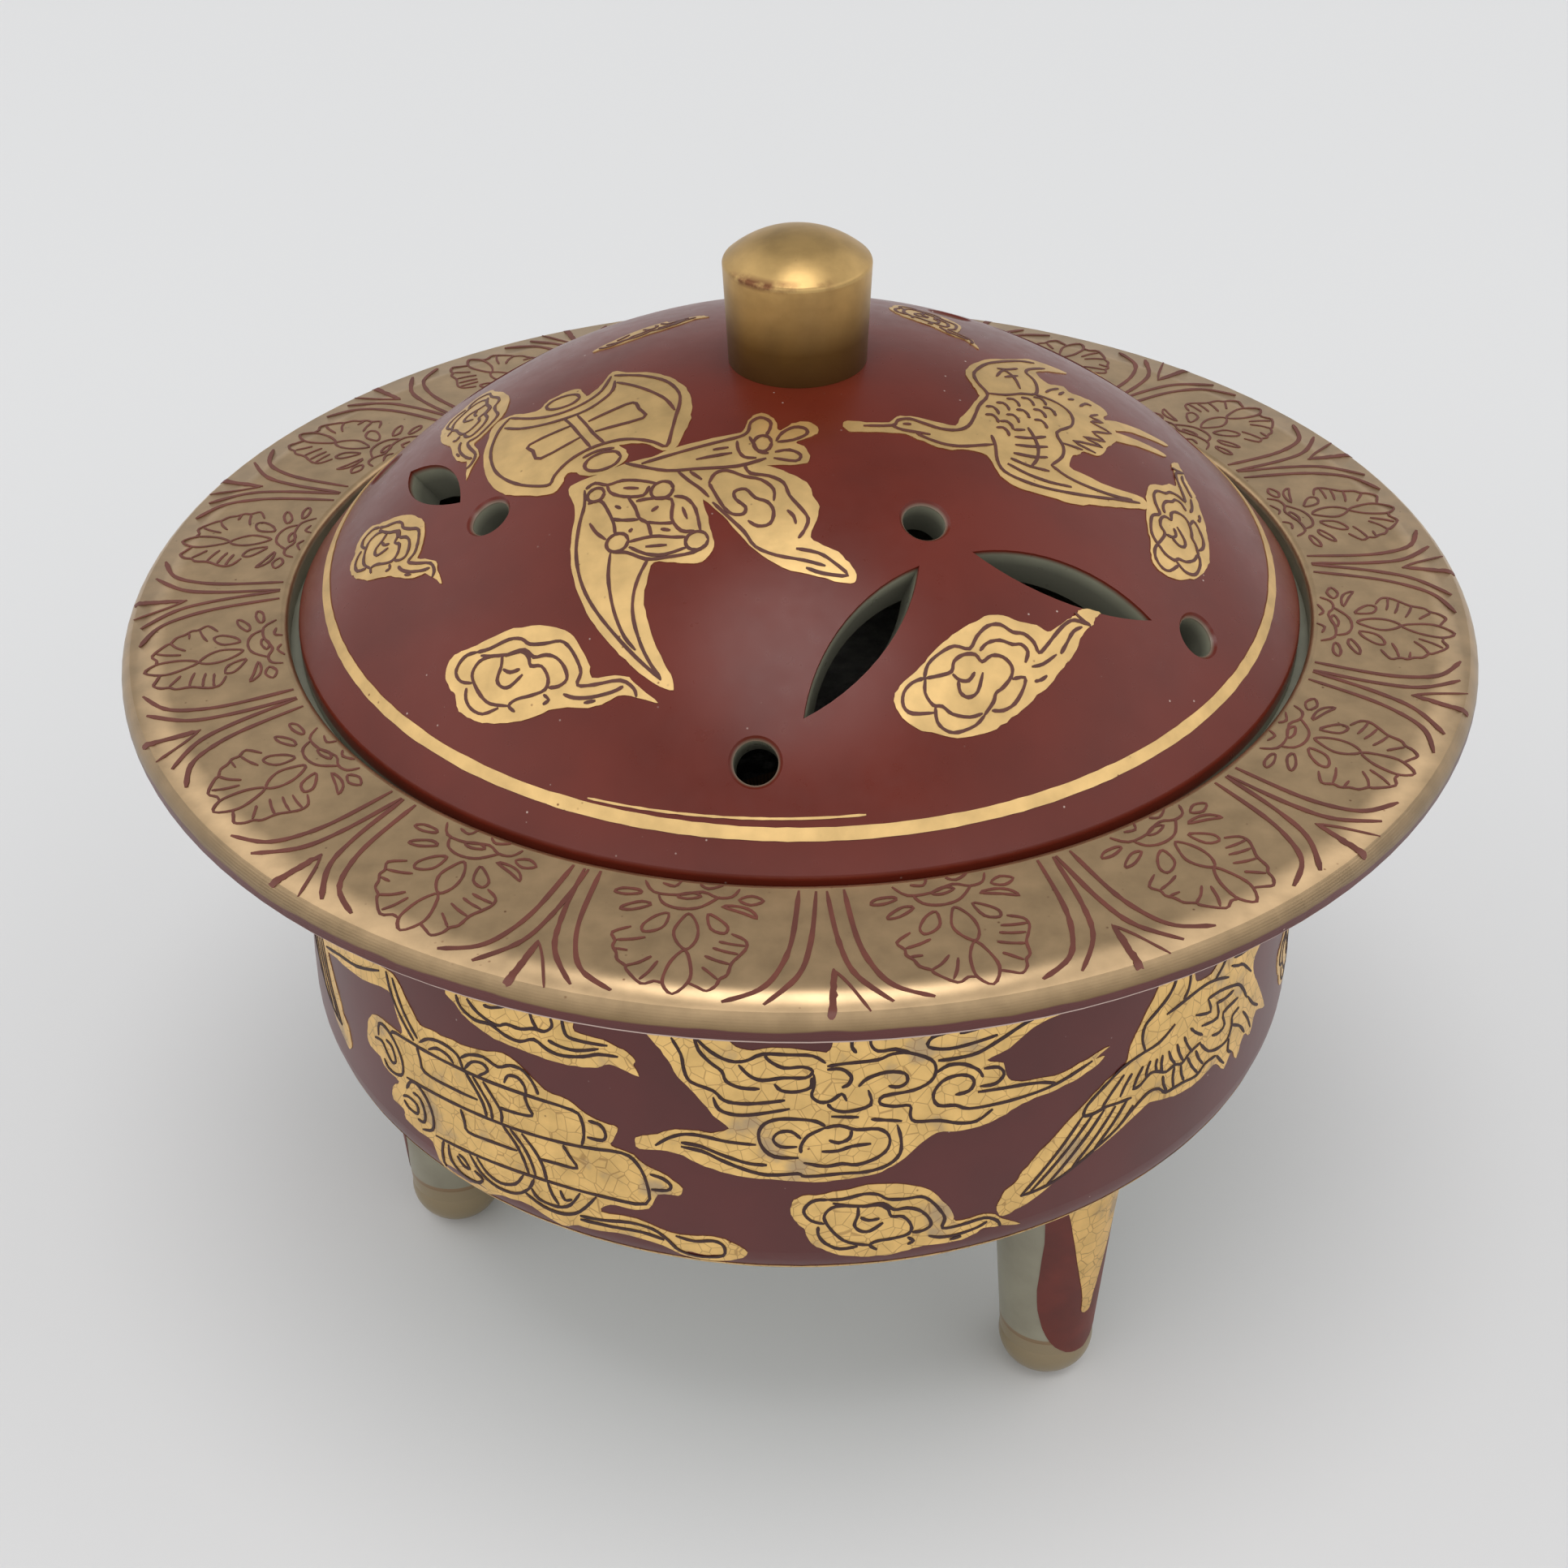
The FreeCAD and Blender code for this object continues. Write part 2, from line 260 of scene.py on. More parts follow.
class Relief:
    """Patches and strokes on one surface."""

    def __init__(self, surface):
        self.surface = surface
        self.vertices = []
        self.faces = []

    def add_layers(self, flat_points, bottom, top):
        """Puts every flat point on the surface twice, and returns the first number of each layer."""
        places = [self.surface(x, y) for x, y in flat_points]
        low = len(self.vertices)
        self.vertices += [point + normal * bottom for point, normal in places]
        high = len(self.vertices)
        self.vertices += [point + normal * top for point, normal in places]
        return low, high

    def patches(self, outlines, bottom=GOLD_BOTTOM, top=GOLD_TOP):
        """Closed patches: overlapping outlines become one patch."""
        points = []
        rings = []
        for outline in outlines:
            curve = [(x + RANDOM.gauss(0, EDGE_WOBBLE), y + RANDOM.gauss(0, EDGE_WOBBLE))
                     for x, y in curve_through(outline, closed=True)]
            rings.append(list(range(len(points), len(points) + len(curve))))
            points += curve
            points += grid_points(curve)
        corners = [Vector(point) for point in points]
        flat, _, triangles = delaunay_2d_cdt(corners, [], rings, INSIDE_ONLY, MERGE_DISTANCE)[:3]
        used = sorted({corner for triangle in triangles for corner in triangle})
        number = {old: new for new, old in enumerate(used)}
        low, high = self.add_layers([flat[index] for index in used], bottom, top)
        borders = {}
        for triangle in triangles:
            corners = [number[index] for index in triangle]
            self.faces.append([high + index for index in corners])
            self.faces.append([low + index for index in reversed(corners)])
            for start, end in zip(corners, corners[1:] + corners[:1]):
                if (end, start) in borders:
                    del borders[end, start]
                else:
                    borders[start, end] = True
        for start, end in borders:
            self.faces.append([low + start, low + end, high + end, high + start])

    def stroke(self, points, width, closed=False, bottom=LINE_BOTTOM, top=LINE_TOP, wobble=BRUSH_WOBBLE):
        """A brush line of nearly even width, narrower at its ends."""
        curve = curve_through(points, closed)
        count = len(curve)
        left, right = [], []
        for index, (x, y) in enumerate(curve):
            before = curve[index - 1] if index or closed else curve[0]
            after = curve[(index + 1) % count] if index < count - 1 or closed else curve[-1]
            along = Vector((after[0] - before[0], after[1] - before[1])).normalized()
            half = width / 2 * RANDOM.uniform(1 - wobble, 1 + wobble)
            if not closed and index in (0, count - 1):
                half *= TAPER
            left.append((x - along.y * half, y + along.x * half))
            right.append((x + along.y * half, y - along.x * half))
        low, high = self.add_layers(left + right, bottom, top + RANDOM.uniform(0.0, LINE_LIFT))
        steps = count if closed else count - 1
        for index in range(steps):
            left_end = (index + 1) % count
            right_start, right_end = count + index, count + left_end
            self.faces.append([high + index, high + right_start, high + right_end, high + left_end])
            self.faces.append([low + left_end, low + right_end, low + right_start, low + index])
            self.faces.append([low + index, high + index, high + left_end, low + left_end])
            self.faces.append([low + right_end, high + right_end, high + right_start, low + right_start])
        if not closed:
            last = count - 1
            self.faces.append([low, low + count, high + count, high])
            self.faces.append([low + last, high + last, high + count + last, low + count + last])

    def piece(self, name, material, body, slot="gilding"):
        """The finished piece."""
        return add_piece(name, self.vertices, self.faces, material, body)


# Drawings of the lid, in millimetres over the dome: gold outlines, then the lines on them

def swirl_cloud():
    """A cloud of curled lobes with a rising tail."""
    gold = [[
        (8.0, -36.8), (8.7, -35.8), (9.7, -34.8), (10.7, -33.5), (11.9, -32.1), (13.2, -30.9),
        (14.6, -29.7), (15.8, -28.9), (17.0, -28.6), (18.5, -28.8), (20.0, -28.7), (21.0, -29.0),
        (21.9, -28.3), (22.8, -27.3), (23.5, -26.7), (23.8, -26.1), (24.4, -25.7), (25.2, -25.5),
        (25.9, -25.5), (25.4, -26.2), (25.2, -26.9), (24.5, -27.8), (24.1, -28.6), (23.7, -29.8),
        (23.1, -31.0), (22.3, -32.1), (21.3, -33.7), (20.3, -34.9), (19.0, -36.3), (17.6, -37.7),
        (16.3, -38.7), (14.6, -39.4), (12.8, -39.8), (11.2, -39.6), (10.0, -39.5), (9.0, -39.0),
        (8.2, -38.2), (7.9, -37.4)]]
    lines = [
        [(10.4, -35.3), (9.4, -35.8), (8.7, -36.7), (8.7, -37.8), (9.5, -38.3), (11.4, -38.0)],
        [(11.4, -37.5), (11.6, -38.7), (12.4, -39.3), (13.4, -39.3), (14.9, -38.5), (15.7, -37.5)],
        [(10.4, -35.3), (10.7, -34.1), (11.7, -33.0), (12.9, -32.2), (14.2, -32.2), (14.8, -31.0),
         (15.7, -29.9), (16.8, -29.5), (17.9, -29.9), (18.9, -29.8), (19.8, -30.3), (20.3, -31.1),
         (20.9, -30.4), (21.7, -29.1), (22.6, -27.8), (23.5, -27.1), (24.8, -27.1)],
        [(15.1, -32.2), (15.7, -31.4), (16.8, -30.9), (17.9, -31.0), (18.7, -30.8), (19.3, -31.3),
         (19.1, -32.3)],
        [(10.5, -35.3), (11.7, -34.9), (12.7, -34.4), (12.9, -33.5), (13.7, -32.8), (14.7, -32.6),
         (15.3, -33.1), (16.1, -32.4), (17.1, -32.3), (17.9, -32.9), (17.9, -33.8), (17.2, -34.9),
         (16.6, -35.5), (16.4, -36.3), (15.6, -37.6)],
        [(10.5, -35.3), (10.5, -36.5), (11.2, -37.4), (12.0, -37.4), (12.9, -37.9), (14.4, -37.9),
         (15.5, -37.4)],
        [(12.8, -34.6), (13.4, -35.0), (14.2, -34.9), (14.7, -34.1)],
        [(13.3, -35.1), (13.5, -36.0), (14.2, -36.3), (15.0, -35.7), (15.4, -34.0)],
        [(18.0, -34.0), (19.1, -33.6), (19.0, -34.6), (18.3, -36.0), (17.3, -36.8), (16.3, -37.0)],
        [(19.7, -32.5), (20.7, -32.0), (21.9, -30.8)],
        [(22.3, -30.6), (22.8, -29.5), (23.4, -28.2), (24.2, -27.5)],
        [(20.0, -33.7), (20.6, -33.4), (21.1, -32.9)],
        [(23.5, -26.4), (24.2, -26.8), (25.0, -27.1)]]
    return gold, lines


def treasure_weight():
    """A round weight pinched at both ends, with a ring in each pinch and two tablets."""
    gold = [[
        (-27.3, -0.3), (-26.1, 0.1), (-25.2, -0.1), (-23.9, -1.0), (-22.8, -1.3), (-22.3, -0.6),
        (-21.5, 0.0), (-20.3, 0.3), (-19.2, 0.0), (-18.6, -0.9), (-18.3, -1.9), (-17.6, -1.4),
        (-16.9, -0.4), (-16.1, 1.4), (-14.8, 0.5), (-12.3, -0.9), (-10.9, -2.2), (-9.7, -3.9),
        (-9.1, -5.6), (-8.8, -7.6), (-8.9, -9.1), (-9.4, -10.8), (-9.9, -12.4), (-10.6, -12.9),
        (-11.5, -12.6), (-12.3, -11.7), (-13.4, -11.2), (-15.0, -10.9), (-14.4, -11.7),
        (-14.2, -12.7), (-15.0, -13.5), (-16.4, -14.0), (-18.0, -13.6), (-19.0, -12.7),
        (-19.6, -12.8), (-20.0, -13.8), (-20.7, -14.5), (-22.3, -14.1), (-23.9, -13.2),
        (-25.3, -12.4), (-26.3, -11.1), (-27.1, -9.5), (-27.6, -7.6), (-27.9, -5.0), (-27.7, -2.3)]]
    lines = [
        [(-25.7, -0.4), (-26.5, -1.5), (-27.0, -3.2), (-27.2, -5.2), (-26.9, -7.2), (-26.3, -8.9),
         (-25.2, -10.6), (-23.8, -12.0), (-22.2, -13.0), (-21.1, -13.3), (-20.7, -12.4),
         (-19.7, -11.3), (-18.5, -10.6), (-17.0, -10.2), (-15.0, -10.2), (-13.4, -10.7),
         (-12.0, -11.5), (-10.9, -12.3), (-10.5, -10.5), (-10.2, -8.6), (-9.9, -6.8), (-10.0, -5.1),
         (-10.9, -3.2), (-12.1, -1.9), (-13.7, -0.7), (-15.9, 0.5)],
        [(-25.7, -0.4), (-24.6, -1.4), (-23.2, -2.5), (-21.4, -3.3), (-19.6, -3.4), (-18.0, -2.8),
         (-16.9, -1.7), (-16.2, 0.5)],
        [(-26.1, -1.9), (-24.5, -3.3), (-22.5, -4.2), (-20.3, -4.6), (-18.2, -4.4), (-16.7, -3.4),
         (-15.9, -2.2), (-15.8, -0.6)],
        [(-15.6, -1.0), (-14.0, -2.4), (-12.4, -4.1), (-11.1, -5.8), (-10.3, -7.6)],
        [(-20.2, -4.6), (-19.5, -5.9), (-18.6, -7.9), (-17.5, -10.2)],
        [(-19.0, -4.7), (-18.1, -6.6), (-17.3, -8.4), (-16.3, -10.1)],
        [(-19.4, -6.1), (-23.3, -6.7), (-22.9, -7.9), (-22.1, -9.4), (-18.5, -8.3)],
        [(-17.9, -6.3), (-16.0, -5.7), (-14.0, -5.2), (-13.4, -6.4), (-13.0, -7.9), (-17.2, -8.1)],
        oval(-20.5, -1.5, 1.6, 1.0, -10), oval(-16.4, -12.4, 1.6, 1.1),
        [(-18.2, -11.3), (-16.9, -10.9), (-15.4, -11.1)]]
    return gold, lines


def horn_and_ribbon():
    """A netted horn with a bow of ribbon, a sprig of berries and a cloud."""
    gold = [[
        (-19.4, -15.0), (-18.8, -14.2), (-16.8, -13.9), (-14.2, -13.4), (-12.2, -13.3),
        (-10.5, -12.8), (-8.0, -12.3), (-5.2, -11.9), (-4.5, -11.5), (-4.2, -10.6), (-3.7, -9.7),
        (-3.0, -9.4), (-2.2, -9.9), (-1.8, -10.8), (-1.6, -11.8), (-1.0, -11.4), (-0.2, -10.8),
        (0.8, -10.7), (1.6, -11.4), (1.6, -12.2), (0.8, -12.7), (-0.2, -13.3), (0.5, -13.8),
        (0.9, -14.8), (0.7, -15.7), (-0.6, -15.9), (-2.5, -15.9), (-1.2, -16.6), (0.0, -17.3),
        (0.9, -18.2), (1.2, -19.3), (1.7, -20.4), (1.5, -21.8), (1.0, -23.5), (2.0, -24.2),
        (3.2, -24.9), (4.1, -25.8), (4.7, -26.9), (4.5, -27.6), (3.4, -27.7), (1.6, -27.2),
        (-0.6, -26.6), (-2.4, -25.6), (-4.0, -24.1), (-5.0, -22.6), (-6.2, -21.0), (-7.8, -19.1),
        (-7.4, -21.0), (-7.1, -22.6), (-6.9, -23.9), (-7.6, -25.1), (-8.6, -25.4), (-10.2, -25.0),
        (-11.9, -24.7), (-12.4, -25.9), (-12.8, -27.8), (-12.6, -29.6), (-12.0, -31.8),
        (-11.2, -33.8), (-10.5, -35.3), (-10.5, -36.2), (-11.6, -35.7), (-12.9, -34.7),
        (-14.1, -33.4), (-15.3, -31.9), (-16.4, -30.4), (-17.4, -28.7), (-18.2, -26.8),
        (-18.8, -24.6), (-19.1, -22.2), (-19.0, -20.0), (-18.7, -17.8), (-18.9, -16.4)]]
    horn = [
        [(-17.9, -15.4), (-17.9, -17.2), (-18.3, -19.0), (-18.6, -21.6), (-18.4, -24.0),
         (-17.8, -26.2), (-16.8, -28.3), (-15.4, -30.5), (-13.6, -32.9), (-11.5, -35.2)],
        [(-12.4, -24.3), (-13.2, -25.8), (-13.7, -27.6), (-13.7, -29.6), (-13.1, -32.0),
         (-12.3, -33.8), (-11.5, -35.1)],
        [(-15.6, -22.9), (-15.8, -25.0), (-15.6, -27.2), (-15.2, -29.1), (-14.5, -31.0),
         (-13.6, -32.3)],
        [(-17.8, -15.3), (-17.0, -14.9), (-15.9, -15.5), (-14.6, -15.4), (-13.0, -15.9),
         (-11.6, -16.6)],
        oval(-16.9, -16.3, 0.75, 0.75), oval(-11.2, -17.4, 0.95, 0.95),
        oval(-15.0, -22.0, 0.95, 0.9), oval(-8.3, -23.2, 0.95, 0.9),
        [(-15.9, -15.6), (-15.6, -16.5), (-14.4, -17.3), (-12.8, -17.6), (-12.3, -16.7)],
        [(-17.6, -17.1), (-16.5, -17.1), (-15.8, -18.5), (-15.3, -20.0), (-15.2, -21.1)],
        [(-17.4, -19.3), (-16.8, -20.5), (-16.0, -21.4)],
        [(-14.1, -17.5), (-13.5, -18.7), (-13.1, -20.0), (-12.4, -20.7), (-12.1, -22.1)],
        [(-15.5, -19.4), (-14.6, -19.8), (-13.2, -20.1)],
        [(-13.4, -18.1), (-12.3, -18.1), (-10.4, -18.6), (-10.4, -20.6), (-9.6, -22.0), (-8.5, -22.2)],
        [(-12.6, -20.5), (-11.4, -20.9), (-10.2, -21.1)],
        [(-10.2, -18.3), (-9.2, -18.7), (-8.4, -20.0), (-8.0, -22.3)],
        [(-9.5, -19.6), (-9.1, -20.9)],
        [(-14.1, -22.2), (-12.0, -22.1), (-10.4, -22.5), (-9.2, -22.7)],
        [(-14.0, -22.7), (-12.6, -23.7), (-11.0, -24.1), (-9.1, -23.7)],
        [(-15.4, -22.9), (-14.2, -23.2), (-12.6, -24.2), (-11.0, -24.4), (-8.6, -24.3), (-7.4, -23.6)],
        [(-15.2, -18.1), (-14.7, -18.5)], [(-14.5, -16.3), (-13.2, -16.7)],
        [(-12.1, -19.5), (-11.5, -19.1)], [(-14.0, -21.2), (-13.7, -20.9)],
        [(-11.3, -21.5), (-10.5, -21.8)], [(-12.6, -23.0), (-10.8, -23.2)]]
    ribbon = [
        [(-14.4, -13.4), (-12.9, -14.3), (-10.8, -15.3), (-8.4, -15.6), (-5.0, -15.8), (-2.6, -15.1)],
        [(-13.0, -13.9), (-10.0, -13.4), (-7.0, -12.8), (-4.8, -12.3), (-4.1, -11.7), (-3.9, -10.6),
         (-3.1, -10.0), (-2.3, -10.6), (-2.3, -11.5), (-2.6, -12.3)],
        [(-5.0, -12.8), (-4.9, -13.9), (-4.4, -14.8), (-3.4, -15.0)],
        [(-4.0, -12.4), (-3.6, -13.4), (-3.2, -14.3), (-2.4, -14.5)],
        oval(-2.9, -13.3, 0.75, 0.95),
        [(-1.8, -13.1), (-1.3, -12.1), (-0.3, -11.4), (0.6, -11.6), (0.7, -12.3), (-0.4, -13.0),
         (-1.7, -13.2)],
        [(-1.9, -14.4), (-0.7, -14.2), (0.2, -14.8), (-0.2, -15.5), (-2.0, -15.1)],
        [(-7.0, -13.6), (-5.7, -13.5)], [(-8.4, -14.5), (-5.4, -14.2)],
        [(-9.9, -15.6), (-9.0, -16.8), (-8.0, -17.9), (-7.3, -18.9)],
        [(-8.9, -15.8), (-7.9, -16.9)],
        [(-4.4, -15.7), (-3.9, -16.7), (-2.4, -17.1), (-1.2, -17.9), (-0.7, -19.3), (0.2, -20.6),
         (0.8, -21.7), (0.5, -22.8), (0.0, -23.6)],
        [(-7.3, -17.4), (-6.8, -16.4), (-5.8, -16.2), (-4.4, -17.0), (-3.0, -17.5), (-2.0, -18.6),
         (-2.0, -19.8)],
        [(-7.3, -17.4), (-6.8, -18.6), (-6.1, -20.1), (-5.4, -20.9), (-4.5, -21.0), (-4.3, -20.3),
         (-5.1, -19.4), (-5.2, -18.6), (-4.3, -18.4), (-3.5, -19.4), (-2.5, -19.9), (-2.0, -20.9),
         (-2.3, -22.1), (-3.3, -22.3), (-4.1, -21.7)],
        [(-7.0, -19.5), (-5.6, -21.3), (-4.4, -22.8), (-3.5, -24.3), (-1.8, -25.2), (0.4, -25.7),
         (2.2, -26.2)],
        [(-0.2, -24.6), (1.6, -25.0), (2.8, -25.8), (4.0, -27.0), (2.0, -26.9), (0.6, -26.4)],
        [(-0.9, -20.8), (-0.4, -21.4), (-0.2, -22.2)]]
    return gold, horn + ribbon


def flying_crane():
    """A crane in flight with a long beak, raised wings and trailing legs."""
    body = [
        (3.7, -10.9), (4.1, -10.4), (5.6, -10.4), (7.5, -10.1), (8.2, -9.2), (9.4, -8.9),
        (11.4, -9.1), (13.1, -9.2), (13.5, -8.3), (14.2, -6.8), (15.0, -5.0), (15.5, -3.7),
        (15.2, -2.6), (14.7, -1.4), (14.5, 0.0), (14.9, 1.5), (15.7, 2.8), (17.0, 4.4), (18.9, 5.9),
        (20.2, 7.2), (21.6, 8.3), (24.8, 8.6), (23.6, 7.3), (22.2, 6.0), (21.3, 4.8), (21.9, 3.4),
        (22.6, 3.2), (23.9, 4.0), (24.3, 3.2), (25.6, 3.4), (26.8, 3.5), (27.8, 3.0), (28.1, 2.1),
        (27.6, 0.8), (28.5, -0.4), (28.7, -1.6), (28.3, -3.1), (27.5, -4.3), (27.0, -5.7),
        (26.2, -6.8), (24.9, -7.1), (24.4, -7.9), (23.8, -8.4), (23.3, -10.2), (24.9, -10.5),
        (26.4, -10.6), (28.4, -10.3), (30.6, -9.8), (31.0, -11.0), (29.4, -12.0), (27.6, -13.0),
        (25.6, -13.9), (23.8, -14.7), (22.0, -15.0), (19.6, -15.1), (18.2, -15.0), (17.2, -14.5),
        (16.4, -13.4), (15.8, -12.1), (14.2, -12.0), (12.8, -12.4), (11.6, -12.4), (10.4, -12.0),
        (8.9, -11.4), (7.1, -11.5), (5.2, -11.7), (4.2, -11.7)]
    legs = [[(27.4, 0.2), (30.1, 2.2), (34.4, 3.6), (34.5, 2.9), (30.6, 1.0), (28.2, -0.8)],
            [(28.2, -1.2), (31.0, -0.1), (33.9, 0.6), (33.8, -0.1), (30.8, -1.4), (28.3, -2.7)]]
    outline = [
        [(5.4, -10.9), (7.8, -10.5), (8.3, -9.7), (9.3, -9.3), (10.4, -9.6), (11.9, -9.95),
         (13.3, -9.7), (14.3, -8.8), (14.9, -7.2), (15.4, -5.3), (16.1, -3.8), (16.2, -2.8),
         (15.5, -1.5), (15.2, -0.1), (15.6, 1.2), (16.6, 3.0), (18.2, 4.7), (20.0, 6.4), (21.4, 7.3)],
        [(7.8, -10.5), (8.7, -10.9), (11.0, -10.95)],
        [(8.7, -10.1), (9.4, -10.0)],
        [(9.8, -11.1), (10.9, -11.6), (12.4, -11.9), (14.0, -11.6), (16.4, -10.5)],
        [(16.3, -9.3), (16.6, -10.6), (16.7, -12.4), (17.3, -13.6), (19.0, -14.1), (21.0, -14.1),
         (23.4, -13.6), (25.8, -12.8), (28.2, -11.7), (30.2, -10.8)],
        [(21.6, -10.9), (23.1, -11.7), (25.2, -11.9), (27.5, -11.6), (29.4, -10.9)],
        [(17.6, -12.5), (19.4, -13.1), (21.4, -13.2), (23.4, -12.8)],
        [(17.9, -11.7), (19.6, -12.0), (21.4, -11.8)],
        [(20.5, -0.4), (22.4, -0.3), (23.7, -0.9), (24.2, -2.1), (23.9, -3.8), (22.4, -5.8),
         (22.9, -7.6), (22.7, -9.2), (21.6, -10.9)],
        [(16.3, -2.9), (17.9, -2.3), (19.5, -1.1), (20.8, -0.3), (21.1, 1.3), (20.9, 2.8),
         (20.3, 3.8), (20.7, 5.0), (22.4, 6.9)],
        [(19.7, -12.0), (20.3, -10.8), (20.5, -9.2), (20.2, -7.8), (19.7, -6.6)]]
    feathers = [
        [(18.2, -10.9), (20.0, -10.6), (21.3, -10.0)], [(18.4, -9.7), (20.0, -9.2), (21.4, -8.5)],
        [(18.4, -8.6), (19.8, -8.1), (21.3, -7.1)], [(18.4, -7.6), (19.4, -7.1)],
        [(17.5, 2.6), (18.5, 3.1), (19.5, 4.1)],
        [(17.3, 0.8), (18.1, 2.6), (19.0, 1.7), (19.4, -0.2)], [(18.1, 1.2), (19.4, 2.4)],
        [(21.9, 0.9), (22.4, 1.8), (23.3, 2.9)], [(23.2, 1.5), (23.8, 2.6)],
        [(24.1, 1.3), (24.7, 1.9)], [(25.2, 0.9), (25.9, 2.1), (26.5, 2.3)],
        [(27.0, 0.9), (26.1, -0.3), (27.3, -0.3), (26.1, -1.3), (28.0, -1.7), (26.1, -3.1),
         (27.2, -3.8), (25.1, -4.7), (26.8, -5.0), (24.0, -6.1), (26.1, -6.5)],
        [(22.9, -7.1), (24.8, -6.9)]]
    scales = []
    for x, y in ((17.0, -4.1), (16.0, -5.2), (17.8, -5.6), (15.9, -6.5), (17.2, -6.9), (18.8, -4.3),
                 (20.4, -3.3), (18.0, -2.9), (19.4, -1.9), (20.6, -1.0), (21.4, -2.3), (20.4, -5.0),
                 (16.8, -8.0)):
        scales.append([(x, y), (x + 0.6, y + 0.25), (x + 1.0, y - 0.15), (x + 1.1, y - 0.7)])
    return [body] + legs, outline + feathers + scales


# Drawings of the bowl's side, in millimetres around and up the belly

def tailed_cloud():
    """A cloud of nested lobes with a flat tail."""
    gold = [[
        (-0.9, 5.0), (-0.6, 5.9), (0.2, 6.4), (1.6, 6.5), (3.2, 6.8), (5.5, 7.2), (8.0, 7.0),
        (10.0, 6.3), (11.1, 5.5), (12.2, 4.0), (12.8, 2.8), (13.1, 1.9), (15.0, 1.9), (16.3, 1.7),
        (17.2, 0.9), (19.0, -0.4), (17.2, 0.1), (15.6, 0.3), (14.6, -0.2), (13.0, -0.5), (10.3, -0.3),
        (9.0, -0.5), (7.0, -0.8), (5.0, -0.7), (3.2, -0.3), (2.0, 0.3), (1.0, 1.0), (0.5, 1.7),
        (0.3, 2.7), (-0.2, 3.2), (-0.7, 4.1)]]
    lines = [
        [(2.2, 5.9), (1.2, 5.9), (0.5, 5.4), (0.2, 4.6), (0.8, 3.7), (1.9, 3.3)],
        [(2.2, 5.9), (3.4, 5.9), (5.2, 6.3), (6.4, 6.1), (7.2, 5.5), (8.6, 5.3), (10.0, 5.3),
         (10.9, 4.6), (11.7, 3.4), (12.1, 2.4), (11.9, 1.4), (13.4, 1.3), (15.6, 1.5), (16.8, 0.8),
         (17.1, 0.1)],
        [(2.6, 5.5), (3.7, 5.2), (5.2, 5.0), (6.8, 5.1), (7.7, 4.3), (8.8, 4.3), (9.8, 3.9),
         (10.6, 3.0), (10.9, 2.0), (10.2, 1.5), (9.3, 1.5)],
        [(4.6, 5.0), (3.6, 5.2), (2.5, 5.0), (1.9, 4.2), (2.1, 3.3), (2.9, 2.0), (3.9, 1.1),
         (5.6, 0.6)],
        [(4.7, 5.0), (4.7, 4.1), (4.4, 3.0), (4.9, 2.3), (5.7, 2.2), (6.8, 3.0)],
        [(4.9, 3.8), (5.6, 3.4), (6.5, 3.5)],
        [(5.0, 4.9), (6.4, 5.0), (7.2, 4.4), (7.5, 3.6), (8.5, 3.4), (9.2, 2.3), (9.0, 1.4),
         (7.8, 1.1), (6.4, 1.0), (5.7, 0.6), (6.3, 0.0)],
        [(1.4, 3.0), (1.4, 2.1), (2.0, 1.1), (3.2, 0.4), (4.7, 0.6)],
        [(8.9, 1.0), (9.4, 0.5), (8.9, 0.2)],
        [(10.7, 0.8), (11.7, 0.4), (13.2, 0.3), (15.0, 0.6), (15.9, 1.0)],
        [(12.6, -0.1), (13.6, 0.0)]]
    return gold, lines


def cloud_under_rim():
    """The lower part of a cloud that the rim half hides."""
    gold = [[
        (-33.6, 18.0), (-32.4, 17.3), (-31.0, 16.6), (-29.0, 16.1), (-27.0, 15.9), (-24.0, 16.0),
        (-21.5, 16.0), (-19.5, 16.2), (-17.5, 16.6), (-16.4, 17.2), (-15.0, 17.0), (-13.7, 16.7),
        (-14.2, 17.6), (-14.1, 18.1), (-14.8, 18.7), (-16.0, 19.1), (-17.6, 19.4), (-19.7, 19.4),
        (-20.0, 20.6), (-23.0, 20.8), (-27.0, 20.2), (-31.0, 19.2)]]
    lines = [
        [(-32.3, 18.2), (-31.6, 17.3), (-29.9, 16.8), (-28.2, 17.1), (-26.6, 16.7), (-25.0, 16.7),
         (-23.6, 17.4), (-22.2, 16.9), (-20.8, 16.8), (-18.8, 17.3), (-17.4, 17.9), (-15.6, 18.1)],
        [(-31.0, 18.4), (-29.6, 17.6), (-27.5, 17.3), (-26.5, 17.8), (-25.0, 17.9), (-23.7, 18.4),
         (-22.6, 18.5), (-21.9, 19.2), (-22.1, 19.9)],
        [(-24.2, 19.8), (-23.8, 19.0), (-23.2, 18.4)],
        [(-29.1, 18.6), (-28.2, 18.7), (-26.7, 19.4)],
        [(-21.0, 20.2), (-20.7, 19.2), (-20.2, 18.7), (-18.6, 18.7), (-16.6, 18.9)],
        [(-22.2, 17.8), (-21.0, 17.6), (-19.4, 17.7), (-17.4, 18.4)]]
    return gold, lines


